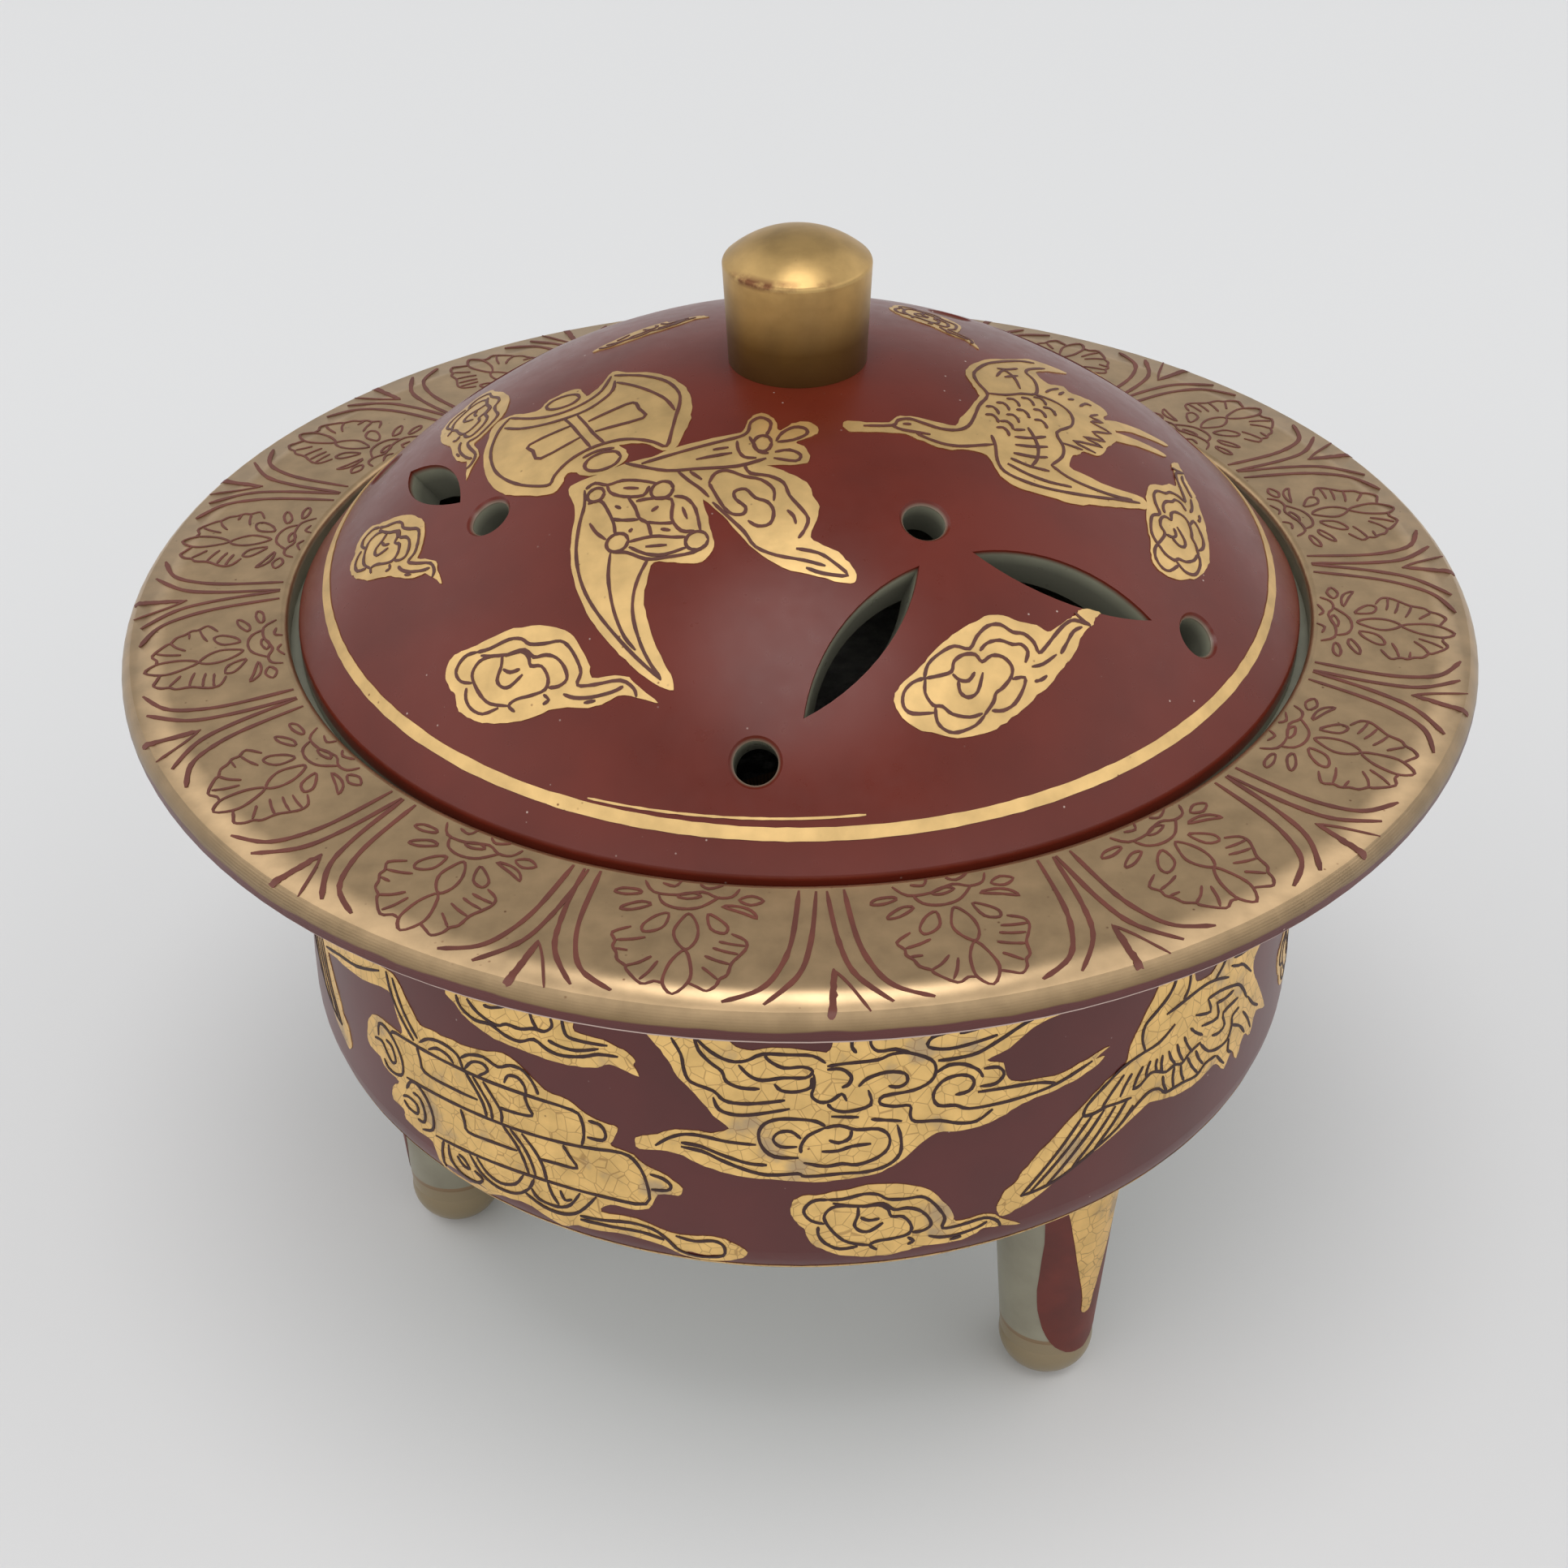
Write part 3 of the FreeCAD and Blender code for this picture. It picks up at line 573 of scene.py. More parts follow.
def tied_scrolls():
    """Two rolled scrolls tied with a ribbon whose ends trail away."""
    gold = [[
        (-45.0, 7.2), (-44.6, 8.9), (-43.6, 10.0), (-42.2, 10.3), (-40.5, 10.5), (-39.0, 10.8),
        (-40.2, 12.5), (-41.4, 13.9), (-46.0, 12.3), (-52.0, 10.6), (-57.0, 8.4), (-60.0, 8.0),
        (-56.0, 10.4), (-51.0, 12.8), (-46.0, 14.6), (-42.0, 15.8), (-40.2, 15.7), (-38.2, 14.2),
        (-36.6, 13.0), (-34.5, 13.4), (-32.4, 13.6), (-29.4, 14.1), (-26.7, 14.8), (-24.5, 14.2),
        (-22.4, 12.9), (-20.1, 12.7), (-18.4, 11.8), (-16.3, 11.4), (-15.5, 11.2), (-15.9, 10.0),
        (-16.1, 9.3), (-14.2, 8.9), (-13.2, 8.1), (-11.2, 7.3), (-9.9, 6.3), (-10.3, 5.4),
        (-12.0, 5.2), (-12.9, 3.4), (-14.6, 3.0), (-16.3, 2.9), (-17.2, 1.8), (-14.0, 2.0),
        (-11.0, 1.1), (-8.8, 1.2), (-7.4, 1.4), (-5.9, 1.0), (-4.5, -0.1), (-5.4, -1.1),
        (-7.4, -1.8), (-10.0, -1.5), (-11.7, -0.5), (-15.0, -0.1), (-17.4, -0.5), (-19.5, -0.6),
        (-21.2, -1.5), (-24.0, -0.4), (-27.2, -0.7), (-28.9, -1.7), (-31.0, -1.9), (-34.4, -1.7),
        (-35.3, 0.9), (-37.2, 1.0), (-39.1, 1.2), (-39.3, 2.2), (-40.9, 2.3), (-40.8, 3.8),
        (-39.8, 5.0), (-41.9, 5.2), (-42.8, 5.9), (-44.5, 6.0)]]
    scrolls = [
        [(-42.9, 8.2), (-42.8, 9.5), (-41.7, 9.8), (-40.2, 9.1), (-39.1, 7.7), (-39.1, 6.3),
         (-40.2, 5.6), (-41.4, 5.6), (-42.0, 6.2)],
        [(-43.5, 7.6), (-42.3, 7.9), (-41.5, 7.2), (-40.7, 6.6), (-40.1, 7.1), (-40.7, 8.3),
         (-41.6, 8.5)],
        [(-40.8, 9.7), (-40.0, 10.2), (-36.0, 10.7), (-32.0, 11.1), (-28.2, 11.4), (-24.0, 11.7),
         (-19.7, 11.8), (-18.8, 11.0), (-18.6, 9.6), (-18.8, 8.5)],
        [(-38.5, 6.3), (-34.0, 6.9), (-29.0, 7.4), (-24.0, 7.8), (-19.0, 8.3), (-15.2, 8.8),
         (-13.8, 8.0), (-13.0, 6.2), (-13.1, 3.9), (-17.0, 3.6), (-23.0, 3.3), (-29.0, 2.7),
         (-34.8, 2.0)],
        [(-38.6, 5.0), (-38.0, 6.1), (-37.1, 6.4), (-35.8, 5.6), (-35.0, 4.0), (-35.2, 2.4),
         (-36.6, 1.6)],
        [(-39.2, 3.8), (-38.4, 4.2), (-37.2, 4.0), (-37.2, 3.0), (-38.4, 2.9), (-39.1, 3.4)],
        [(-37.7, 5.1), (-36.7, 5.0), (-36.1, 3.8), (-36.3, 2.6), (-37.2, 2.4)],
        [(-37.0, 10.6), (-36.5, 9.5), (-35.9, 8.4), (-32.6, 8.6), (-29.4, 8.9)],
        [(-24.4, 11.6), (-24.0, 10.6), (-23.6, 9.8), (-25.4, 9.4), (-27.2, 9.2)],
        [(-31.4, 6.9), (-31.0, 5.8), (-30.6, 4.8), (-28.0, 5.1), (-25.2, 5.4)],
        [(-20.6, 7.9), (-20.0, 7.0), (-19.3, 5.9), (-21.0, 5.7), (-23.0, 5.5)],
        [(-18.2, 11.2), (-17.1, 11.1), (-16.6, 10.3), (-16.9, 9.6), (-18.3, 9.5)],
        [(-12.7, 7.2), (-11.6, 7.0), (-10.9, 6.4), (-11.2, 5.8), (-12.6, 5.6)]]
    ribbon = [
        [(-36.6, 11.2), (-35.4, 12.2), (-33.6, 12.7), (-31.8, 12.4), (-31.1, 11.3)],
        [(-35.4, 11.1), (-34.3, 11.8), (-33.0, 11.8), (-32.2, 11.3)],
        [(-31.4, 12.3), (-30.4, 13.1), (-28.8, 13.6), (-27.2, 13.3), (-25.9, 14.0), (-24.5, 14.0),
         (-23.4, 13.0), (-23.0, 12.2)],
        [(-30.9, 11.4), (-30.1, 12.5), (-28.9, 12.9), (-28.3, 12.4), (-29.4, 11.4)],
        [(-26.5, 12.0), (-26.1, 12.9), (-25.1, 13.1), (-24.4, 12.5), (-24.2, 11.7)],
        [(-29.8, 2.4), (-28.7, 1.2), (-27.2, 0.8), (-25.6, 1.5), (-24.7, 2.9)],
        [(-30.6, 2.3), (-29.4, 0.8), (-27.6, 0.1), (-25.6, 0.4), (-24.2, 1.6), (-23.6, 3.0)],
        [(-23.9, 1.8), (-23.2, 0.9), (-21.4, 0.8), (-20.1, 1.5), (-19.1, 3.2)],
        [(-24.6, 1.0), (-22.8, 0.2), (-20.8, 0.2), (-19.2, 1.1), (-17.6, 3.3)],
        [(-22.2, 3.2), (-21.8, 2.0), (-21.2, 1.1)], [(-21.0, 2.8), (-20.6, 1.9), (-19.9, 2.2)],
        [(-33.2, 1.9), (-33.0, 0.2), (-31.6, -0.8), (-30.0, -0.7), (-29.3, 0.1), (-30.2, 0.6)],
        [(-32.2, 1.2), (-31.5, 0.5), (-30.8, 0.5), (-31.3, 1.3), (-32.0, 1.5)],
        [(-33.8, 2.0), (-34.1, 0.6), (-34.0, -1.2)],
        [(-19.2, 0.6), (-17.0, 0.9), (-14.6, 1.4), (-12.6, 1.2), (-11.3, 0.3), (-10.2, -0.9),
         (-8.4, -1.3), (-6.6, -0.8), (-6.5, 0.4), (-7.4, 0.9), (-9.0, 0.6), (-10.6, 0.9)],
        [(-19.2, 0.2), (-16.4, 0.4), (-13.6, 0.6), (-11.6, 0.2)],
        [(-41.9, 15.6), (-40.8, 13.8), (-39.2, 12.2), (-37.4, 10.9)],
        [(-40.9, 15.5), (-39.6, 13.8), (-38.2, 12.4), (-36.9, 11.4)],
        [(-43.0, 15.0), (-47.0, 13.0), (-51.0, 11.6), (-55.0, 9.8)]]
    for shift in (0.0, 0.8, 2.0):
        ribbon.append([(-30.8 + shift, 11.1), (-29.7 + shift, 10.0), (-28.8 + shift, 8.8),
                       (-28.4 + shift * 0.8, 7.6)])
        ribbon.append([(-26.7 + shift, 7.5), (-25.4 + shift, 6.2), (-24.6 + shift, 4.8),
                       (-24.1 + shift * 0.9, 3.4)])
    return gold, scrolls + ribbon


def cloud_bank():
    """The large bank of clouds at the front, with tails to both sides."""
    gold = [[
        (-13.2, 21.2), (-12.3, 19.9), (-11.2, 18.7), (-10.3, 17.3), (-9.2, 16.3), (-8.2, 15.2),
        (-7.2, 14.0), (-6.0, 12.9), (-7.5, 12.3), (-9.0, 12.4), (-10.5, 12.2), (-12.0, 11.5),
        (-13.3, 11.0), (-14.0, 10.5), (-13.6, 9.6), (-11.8, 9.9), (-9.8, 9.7), (-8.0, 8.9),
        (-6.0, 8.4), (-3.5, 8.1), (0.0, 7.9), (3.0, 7.9), (5.5, 8.2), (7.2, 8.7), (8.6, 9.6),
        (9.8, 10.7), (11.4, 11.6), (13.0, 11.4), (15.0, 11.4), (16.5, 11.6), (18.0, 12.2),
        (19.5, 12.6), (21.5, 12.7), (24.0, 13.0), (26.0, 13.5), (27.3, 14.1), (26.3, 14.3),
        (28.0, 14.9), (25.5, 14.6), (23.0, 14.2), (20.5, 14.5), (18.5, 14.8), (17.6, 15.8),
        (17.4, 16.9), (15.9, 17.6), (18.0, 18.2), (20.3, 19.4), (22.0, 19.7), (25.8, 20.0),
        (22.5, 20.7), (19.0, 21.4), (15.0, 21.8), (11.0, 22.2), (7.0, 22.3), (3.2, 22.2),
        (2.7, 21.2), (2.2, 20.3), (0.0, 20.6), (-2.5, 20.7), (-4.5, 20.4), (-5.8, 20.9),
        (-7.0, 21.8), (-10.0, 21.8)]]
    lines = [
        [(-11.0, 20.8), (-10.1, 19.4), (-9.8, 18.0), (-9.2, 17.0), (-7.3, 16.4), (-6.4, 15.6),
         (-5.0, 15.4), (-3.0, 15.6), (-1.3, 15.9)],
        [(-9.0, 21.2), (-8.6, 20.0), (-7.6, 19.0), (-6.6, 18.3), (-6.2, 17.4), (-5.0, 16.9),
         (-3.4, 16.9)],
        [(-8.8, 21.0), (-7.6, 20.0), (-6.0, 19.3), (-4.6, 19.4), (-3.2, 20.1), (-1.0, 20.1),
         (1.0, 20.0), (2.1, 19.3)],
        [(-5.2, 19.0), (-4.3, 18.1), (-3.2, 17.7), (-1.4, 18.0), (0.4, 18.0), (1.0, 18.6),
         (0.2, 19.0), (-1.4, 18.9), (-2.6, 19.5), (-3.0, 20.0)],
        [(-2.2, 17.4), (-1.6, 16.8), (-0.4, 16.7), (0.8, 17.1), (0.9, 18.0)],
        [(-7.3, 15.8), (-6.8, 14.7), (-5.4, 14.3), (-3.6, 14.5), (-0.9, 15.1)],
        [(2.2, 18.7), (3.4, 18.7), (4.2, 18.0), (4.0, 17.3), (3.4, 17.0)],
        [(1.1, 18.3), (1.1, 17.2), (0.9, 16.3), (1.6, 15.7), (2.5, 15.8), (3.4, 16.4), (3.8, 15.7)],
        [(2.2, 15.5), (2.8, 14.9), (4.0, 14.7), (5.8, 15.2), (5.6, 16.6)],
        [(4.8, 17.0), (5.6, 17.7), (7.2, 18.1), (8.7, 17.8), (8.9, 17.0), (8.2, 16.6), (7.3, 16.8)],
        [(2.2, 19.0), (3.8, 19.2), (6.4, 19.3), (7.7, 19.7), (9.2, 19.6), (11.0, 18.7),
         (11.4, 17.7), (10.9, 16.7), (9.4, 16.1), (6.9, 15.9), (6.6, 15.2), (7.8, 14.8), (9.1, 14.7),
         (9.1, 13.8), (9.5, 13.1), (11.6, 12.8), (13.2, 12.2), (14.8, 12.0), (16.3, 12.8)],
        [(11.4, 17.4), (12.5, 17.9), (13.9, 17.7), (15.1, 16.9), (15.5, 16.1)],
        [(13.0, 15.0), (14.2, 15.1), (14.7, 15.8), (14.3, 16.5), (13.2, 16.8), (11.9, 16.5),
         (11.1, 15.4), (11.5, 14.3), (13.0, 14.0), (14.2, 13.4), (17.0, 13.2), (20.0, 13.2),
         (22.5, 13.4), (26.0, 14.2)],
        [(15.0, 14.8), (17.0, 14.6), (19.5, 14.3), (21.2, 13.9), (22.3, 13.4)],
        [(15.2, 15.3), (16.6, 15.2), (17.4, 15.9), (16.9, 16.7), (15.6, 16.9)],
        [(11.6, 18.5), (13.4, 18.4), (15.2, 18.5), (17.2, 19.2), (19.4, 20.0), (22.0, 20.7)],
        [(17.0, 19.7), (15.0, 19.5), (12.6, 19.4), (10.8, 19.9), (11.2, 20.7), (12.6, 20.9)],
        [(13.6, 20.6), (15.0, 20.7), (16.6, 21.0)], [(9.2, 21.4), (10.0, 21.1), (11.0, 21.4)],
        [(4.4, 21.6), (4.3, 20.7), (4.7, 20.1)],
        [(6.0, 21.6), (5.9, 20.8), (6.5, 20.1), (8.0, 20.1), (9.2, 19.7)],
        [(2.0, 13.4), (1.2, 13.9), (-0.2, 14.1), (-1.8, 14.1), (-3.0, 13.6), (-3.5, 12.6),
         (-3.2, 11.3), (-2.2, 10.4), (-0.2, 10.3)],
        [(1.9, 13.2), (3.2, 13.4), (4.6, 12.9), (6.4, 12.8), (7.3, 12.0), (7.2, 10.8), (6.2, 9.9),
         (4.6, 9.4), (3.4, 9.6), (2.0, 9.4), (0.2, 9.8)],
        [(8.0, 13.0), (8.3, 11.6), (8.2, 10.1), (7.2, 9.1), (5.4, 8.6), (3.4, 8.6), (0.4, 8.4),
         (-0.3, 8.7), (-2.8, 8.5), (-4.8, 9.0), (-6.6, 9.7), (-8.2, 10.4), (-10.0, 10.6)],
        [(1.9, 13.2), (0.6, 12.5), (0.0, 11.5), (0.0, 10.8)],
        [(2.3, 12.0), (3.1, 11.7), (4.0, 12.1), (4.2, 12.9)],
        [(1.7, 10.9), (3.0, 10.9), (4.2, 11.3), (5.8, 11.4)],
        [(0.0, 12.2), (-0.8, 12.9), (-1.8, 12.8), (-2.3, 12.1), (-1.7, 11.4), (-0.3, 11.4)],
        [(-12.2, 10.3), (-11.0, 11.3), (-9.6, 11.9), (-8.0, 11.9), (-6.0, 11.6), (-3.7, 11.5)],
        [(-10.0, 11.0), (-8.4, 10.9), (-6.4, 10.2), (-4.4, 9.6), (-2.8, 9.5)],
        [(2.5, 14.3), (4.8, 14.1)], [(5.8, 13.8), (7.0, 13.6), (8.4, 13.3)]]
    return gold, lines


def rising_crane():
    """A crane whose wing sweeps down to the left and whose neck goes up under the rim."""
    gold = [[
        (16.7, 2.0), (16.9, 2.9), (17.4, 3.9), (18.4, 4.5), (19.1, 5.5), (20.3, 6.7), (22.0, 8.0),
        (24.0, 9.5), (26.0, 10.8), (28.0, 11.8), (29.7, 12.4), (30.0, 13.5), (30.8, 14.6),
        (32.5, 16.5), (34.5, 18.5), (34.9, 19.4), (37.0, 19.4), (38.6, 18.6), (38.8, 17.0),
        (39.0, 15.8), (41.2, 15.4), (42.4, 15.8), (44.0, 16.3), (46.5, 15.2), (49.0, 14.1),
        (52.4, 12.9), (49.4, 12.2), (49.0, 10.6), (50.2, 8.4), (52.0, 4.8), (49.6, 6.0), (48.4, 4.2),
        (47.0, 5.2), (45.6, 3.4), (44.6, 5.0), (43.2, 3.8), (41.8, 5.4), (40.0, 5.4), (38.0, 5.3),
        (36.0, 5.6), (34.4, 6.1), (32.4, 6.8), (30.5, 6.3), (28.0, 5.3), (26.0, 4.6), (24.0, 3.8),
        (22.0, 2.9), (20.0, 1.9), (18.5, 1.4), (17.3, 1.1)]]
    wing = [
        [(24.9, 9.0), (25.4, 10.0), (27.2, 11.1), (29.0, 12.0), (31.0, 12.4), (33.6, 12.5),
         (35.7, 13.3)],
        [(24.9, 9.0), (26.0, 8.8), (27.4, 8.9), (28.6, 8.7), (30.2, 8.5)],
        [(30.3, 9.3), (31.2, 9.3), (32.4, 9.9), (33.4, 9.6), (34.4, 9.0), (35.6, 9.1), (36.5, 8.7),
         (37.6, 9.2), (39.2, 9.4)],
        [(18.9, 2.8), (21.4, 3.0), (24.0, 3.9), (26.2, 4.9), (28.6, 6.0), (30.4, 7.2), (32.2, 8.0),
         (33.5, 7.7), (34.4, 6.8), (36.4, 6.6), (38.6, 6.1), (40.0, 6.6), (41.6, 6.4)]]
    for foot_x, foot_y, top_x, top_y in ((18.9, 2.8, 24.9, 9.0), (19.9, 3.0, 25.9, 8.7),
                                         (21.3, 3.0, 27.2, 8.7), (23.9, 4.0, 28.4, 8.5),
                                         (26.2, 5.0, 29.8, 8.6), (28.6, 6.0, 30.4, 7.6)):
        middle = ((foot_x + top_x) / 2, (foot_y + top_y) / 2 - 0.15)
        wing.append([(foot_x, foot_y), middle, (top_x, top_y)])
    for low_x, low_y, high_x, high_y in ((26.9, 9.0, 29.4, 11.3), (28.9, 9.2, 30.3, 11.0),
                                         (30.4, 9.4, 31.6, 11.1), (31.9, 9.8, 32.5, 11.2),
                                         (33.2, 9.8, 33.3, 11.0), (33.9, 9.2, 34.0, 11.0),
                                         (35.6, 9.2, 34.8, 11.0), (36.7, 8.9, 35.9, 11.1),
                                         (38.0, 9.1, 36.9, 11.3), (39.5, 10.0, 37.8, 11.7),
                                         (34.5, 6.9, 34.0, 8.8), (35.4, 6.8, 35.5, 8.9),
                                         (36.8, 6.7, 36.4, 8.6), (38.8, 6.3, 37.3, 8.9),
                                         (39.6, 6.8, 38.5, 8.9)):
        bend = ((low_x + high_x) / 2 - 0.15, (low_y + high_y) / 2)
        wing.append([(low_x, low_y), bend, (high_x, high_y)])
    neck = [
        [(31.9, 12.5), (31.6, 13.8), (32.0, 15.0), (33.4, 15.7), (35.0, 16.4), (36.1, 17.4),
         (36.3, 18.6)],
        [(38.1, 18.3), (38.2, 17.0), (37.8, 15.8), (37.0, 15.1)],
        [(34.7, 14.8), (37.0, 14.9), (39.4, 14.9), (41.6, 14.5), (44.0, 13.4)],
        [(41.8, 14.5), (43.2, 15.1), (44.4, 16.0)]]
    plumage = [
        [(40.5, 13.2), (42.4, 12.9), (44.8, 12.0), (46.2, 11.1), (47.4, 9.0)],
        [(38.6, 12.6), (40.8, 11.7), (40.5, 13.2)],
        [(41.8, 12.0), (43.2, 11.6), (44.8, 11.5)],
        [(39.4, 11.0), (41.9, 10.4), (41.9, 11.9)],
        [(41.0, 9.0), (42.2, 8.6), (43.1, 8.9), (42.9, 10.3), (45.6, 10.2)],
        [(39.2, 9.2), (40.4, 7.7), (42.0, 7.0), (43.6, 6.9), (44.4, 8.0), (44.5, 8.9), (45.8, 9.0)],
        [(41.8, 6.3), (42.6, 5.2), (43.2, 4.5)], [(43.9, 6.8), (43.8, 5.6), (44.4, 5.0)],
        [(44.4, 8.0), (46.0, 6.8), (47.0, 5.4)], [(46.6, 8.0), (47.6, 6.6), (48.4, 5.0)],
        [(47.6, 9.0), (48.8, 7.4), (50.0, 6.4)],
        [(44.6, 14.2), (45.8, 13.5), (46.8, 13.0), (48.4, 11.2)],
        [(45.2, 14.7), (46.6, 14.3), (48.4, 13.8), (50.4, 13.0)]]
    return gold, wing + neck + plumage


# One petal panel of the rim: degrees from its middle, then radius in millimetres

def rim_panel():
    """Closed leaves, open strokes and borders of one panel."""
    closed = [
        [(0.4, 57.9), (1.3, 56.6), (1.3, 55.2), (0.5, 53.3), (-0.3, 54.3), (-0.6, 55.7), (-0.5, 57.0)],
        [(0.5, 53.2), (1.1, 52.3), (1.1, 51.1), (0.6, 50.0), (-0.1, 49.4), (-0.6, 50.2), (-0.9, 51.4),
         (-0.4, 52.5)],
        [(-3.4, 51.8), (-2.5, 51.6), (-1.8, 50.9), (-1.8, 49.6), (-2.8, 50.0), (-3.6, 51.1)],
        [(3.3, 51.2), (2.1, 50.8), (1.6, 49.3), (2.6, 49.7), (3.5, 50.5)],
        [(-6.1, 49.8), (-5.0, 49.7), (-3.6, 48.9), (-4.5, 48.7), (-5.7, 49.3)],
        [(-7.3, 48.1), (-6.2, 48.2), (-4.9, 47.8), (-5.3, 47.5), (-6.7, 47.6)],
        [(5.9, 49.4), (4.6, 48.9), (2.7, 48.3), (4.1, 48.2), (5.3, 48.6)],
        [(6.3, 47.5), (5.2, 48.0), (4.1, 47.5), (5.2, 47.0)],
        [(-1.6, 47.6), (-0.6, 47.8), (0.6, 47.4), (-0.4, 47.1)]]
    strokes = [
        [(-0.6, 56.9), (-1.2, 56.8), (-2.1, 57.2), (-3.5, 56.0), (-3.7, 55.6), (-4.5, 55.1),
         (-4.8, 54.4), (-5.3, 53.8), (-5.3, 53.2), (-5.8, 52.4), (-4.5, 51.5)],
        [(1.3, 56.6), (2.1, 57.0), (2.8, 57.3), (3.4, 56.7), (3.6, 56.0), (4.1, 55.5), (4.3, 54.3),
         (4.8, 53.5), (5.3, 52.6), (5.1, 51.8), (3.9, 51.2)],
        [(-2.3, 56.8), (-1.8, 55.9), (-1.4, 54.7)], [(-3.7, 55.6), (-2.8, 55.1), (-2.0, 54.3)],
        [(-5.0, 54.0), (-4.0, 54.0)], [(-5.2, 53.1), (-4.0, 52.8), (-3.0, 52.4)],
        [(3.4, 56.0), (2.6, 55.3), (2.1, 54.9)], [(4.2, 54.4), (3.1, 54.1), (2.1, 53.7)],
        [(4.7, 53.3), (3.6, 53.1), (2.6, 52.8)], [(5.2, 52.4), (4.1, 52.3), (3.0, 52.1)],
        [(-3.3, 47.7), (-2.7, 48.5), (-1.6, 48.9), (-0.3, 48.9), (0.9, 48.5), (2.3, 47.3)],
        [(-5.0, 46.4), (-3.8, 47.5), (-1.6, 47.5), (0.6, 46.9), (2.1, 47.4), (3.4, 47.2), (4.0, 46.3)],
        [(-3.3, 46.4), (-2.1, 46.6), (-1.6, 45.9)], [(0.2, 46.1), (1.1, 46.5), (2.4, 46.0)],
        [(-11.0, 54.9), (-10.0, 56.4), (-8.7, 59.2)]]
    borders = []
    for side in (-1, 1):
        borders.append([(side * 4.0, 58.3), (side * 6.2, 57.2), (side * 7.3, 56.1), (side * 8.1, 54.5),
                        (side * 8.7, 52.7), (side * 9.1, 50.4), (side * 9.5, 46.3)])
        borders.append([(side * 7.0, 58.4), (side * 8.9, 56.2), (side * 9.8, 54.6), (side * 10.3, 52.7),
                        (side * 10.7, 50.3), (side * 11.1, 46.4)])
    caret = [(-11.05, 54.7), (-10.85, 55.4), (-10.9, 56.6), (-11.0, 57.8), (-11.05, 58.8), (-11.15, 59.5),
             (-11.75, 59.5), (-11.65, 58.8), (-11.55, 57.8), (-11.45, 56.6), (-11.3, 55.4)]
    return closed, strokes, borders, caret


# Shader nodes

# Places of the colour sockets on a mix node
MIX_FIRST = 6
MIX_SECOND = 7
MIX_RESULT = 2


class Nodes:
    """Short ways to add nodes to a shader."""

    def __init__(self, tree):
        self.tree = tree
        self.place = self.node("ShaderNodeTexCoord").outputs

    def node(self, kind, **settings):
        """A new node, with some of its settings."""
        node = self.tree.nodes.new(kind)
        for setting, value in settings.items():
            setattr(node, setting, value)
        return node

    def feed(self, socket, value):
        """Links an output into a socket, or sets the socket to a plain value."""
        if isinstance(value, bpy.types.NodeSocket):
            self.tree.links.new(value, socket)
        elif isinstance(value, tuple) and len(value) < len(socket.default_value):
            socket.default_value = value + (1.0,)
        else:
            socket.default_value = value

    def maths(self, operation, *values):
        """One calculation with one or two values."""
        node = self.node("ShaderNodeMath", operation=operation)
        for socket, value in zip(node.inputs, values):
            self.feed(socket, value)
        return node.outputs[0]

    def times(self, product, *others):
        """The product of two or more values."""
        for other in others:
            product = self.maths("MULTIPLY", product, other)
        return product

    def ramp(self, value, start, end, first=0.0, last=1.0):
        """Goes evenly from first to last as the value goes from start to end, and no further."""
        node = self.node("ShaderNodeMapRange")
        self.feed(node.inputs["Value"], value)
        for socket, limit in (("From Min", start), ("From Max", end), ("To Min", first), ("To Max", last)):
            node.inputs[socket].default_value = limit
        return node.outputs["Result"]

    def parts(self, vector):
        """The x, y and z of a vector."""
        node = self.node("ShaderNodeSeparateXYZ")
        self.feed(node.inputs[0], vector)
        return node.outputs[:]


class Paint(Nodes):
    """A procedural material built around one principled shader."""

    def __init__(self, name, roughness=0.5, metallic=0.0):
        self.material = bpy.data.materials.new(name)
        self.material.use_nodes = True
        super().__init__(self.material.node_tree)
        self.shader = self.tree.nodes["Principled BSDF"]
        self.set("Roughness", roughness)
        self.set("Metallic", metallic)

    def set(self, socket, value):
        """Feeds one socket of the shader."""
        self.feed(self.shader.inputs[socket], value)

    def texture(self, kind, size, **settings):
        """A texture with features of about the given size in metres."""
        node = self.node(kind, **settings)
        node.inputs["Scale"].default_value = 1 / size
        self.feed(node.inputs["Vector"], self.place["Object"])
        return node

    def noise(self, size, detail=3.0):
        """Cloudy variation."""
        node = self.texture("ShaderNodeTexNoise", size)
        node.inputs["Detail"].default_value = detail
        return node.outputs["Fac"]

    def cells(self, size, feature="F1"):
        """Distance from the nearest of many scattered points, or from the edge between two."""
        return self.texture("ShaderNodeTexVoronoi", size, feature=feature).outputs["Distance"]

    def mix(self, share, first, second):
        """Two colours, with more of the second for a higher share."""
        node = self.node("ShaderNodeMix", data_type="RGBA")
        self.feed(node.inputs["Factor"], share)
        self.feed(node.inputs[MIX_FIRST], first)
        self.feed(node.inputs[MIX_SECOND], second)
        return node.outputs[MIX_RESULT]

    def clouds(self, first, second, size, low=0.3, high=0.7, detail=3.0):
        """Two colours mixed in soft clouds."""
        return self.mix(self.ramp(self.noise(size, detail), low, high), first, second)

    def from_axis(self, x, y):
        """Distance from the upright axis."""
        return self.maths("SQRT", self.maths("ADD", self.times(x, x), self.times(y, y)))

    def bump(self, height, distance, strength):
        """Shades the surface as if it were raised."""
        node = self.node("ShaderNodeBump")
        node.inputs["Strength"].default_value = strength
        node.inputs["Distance"].default_value = distance
        self.feed(node.inputs["Height"], height)
        self.set("Normal", node.outputs["Normal"])


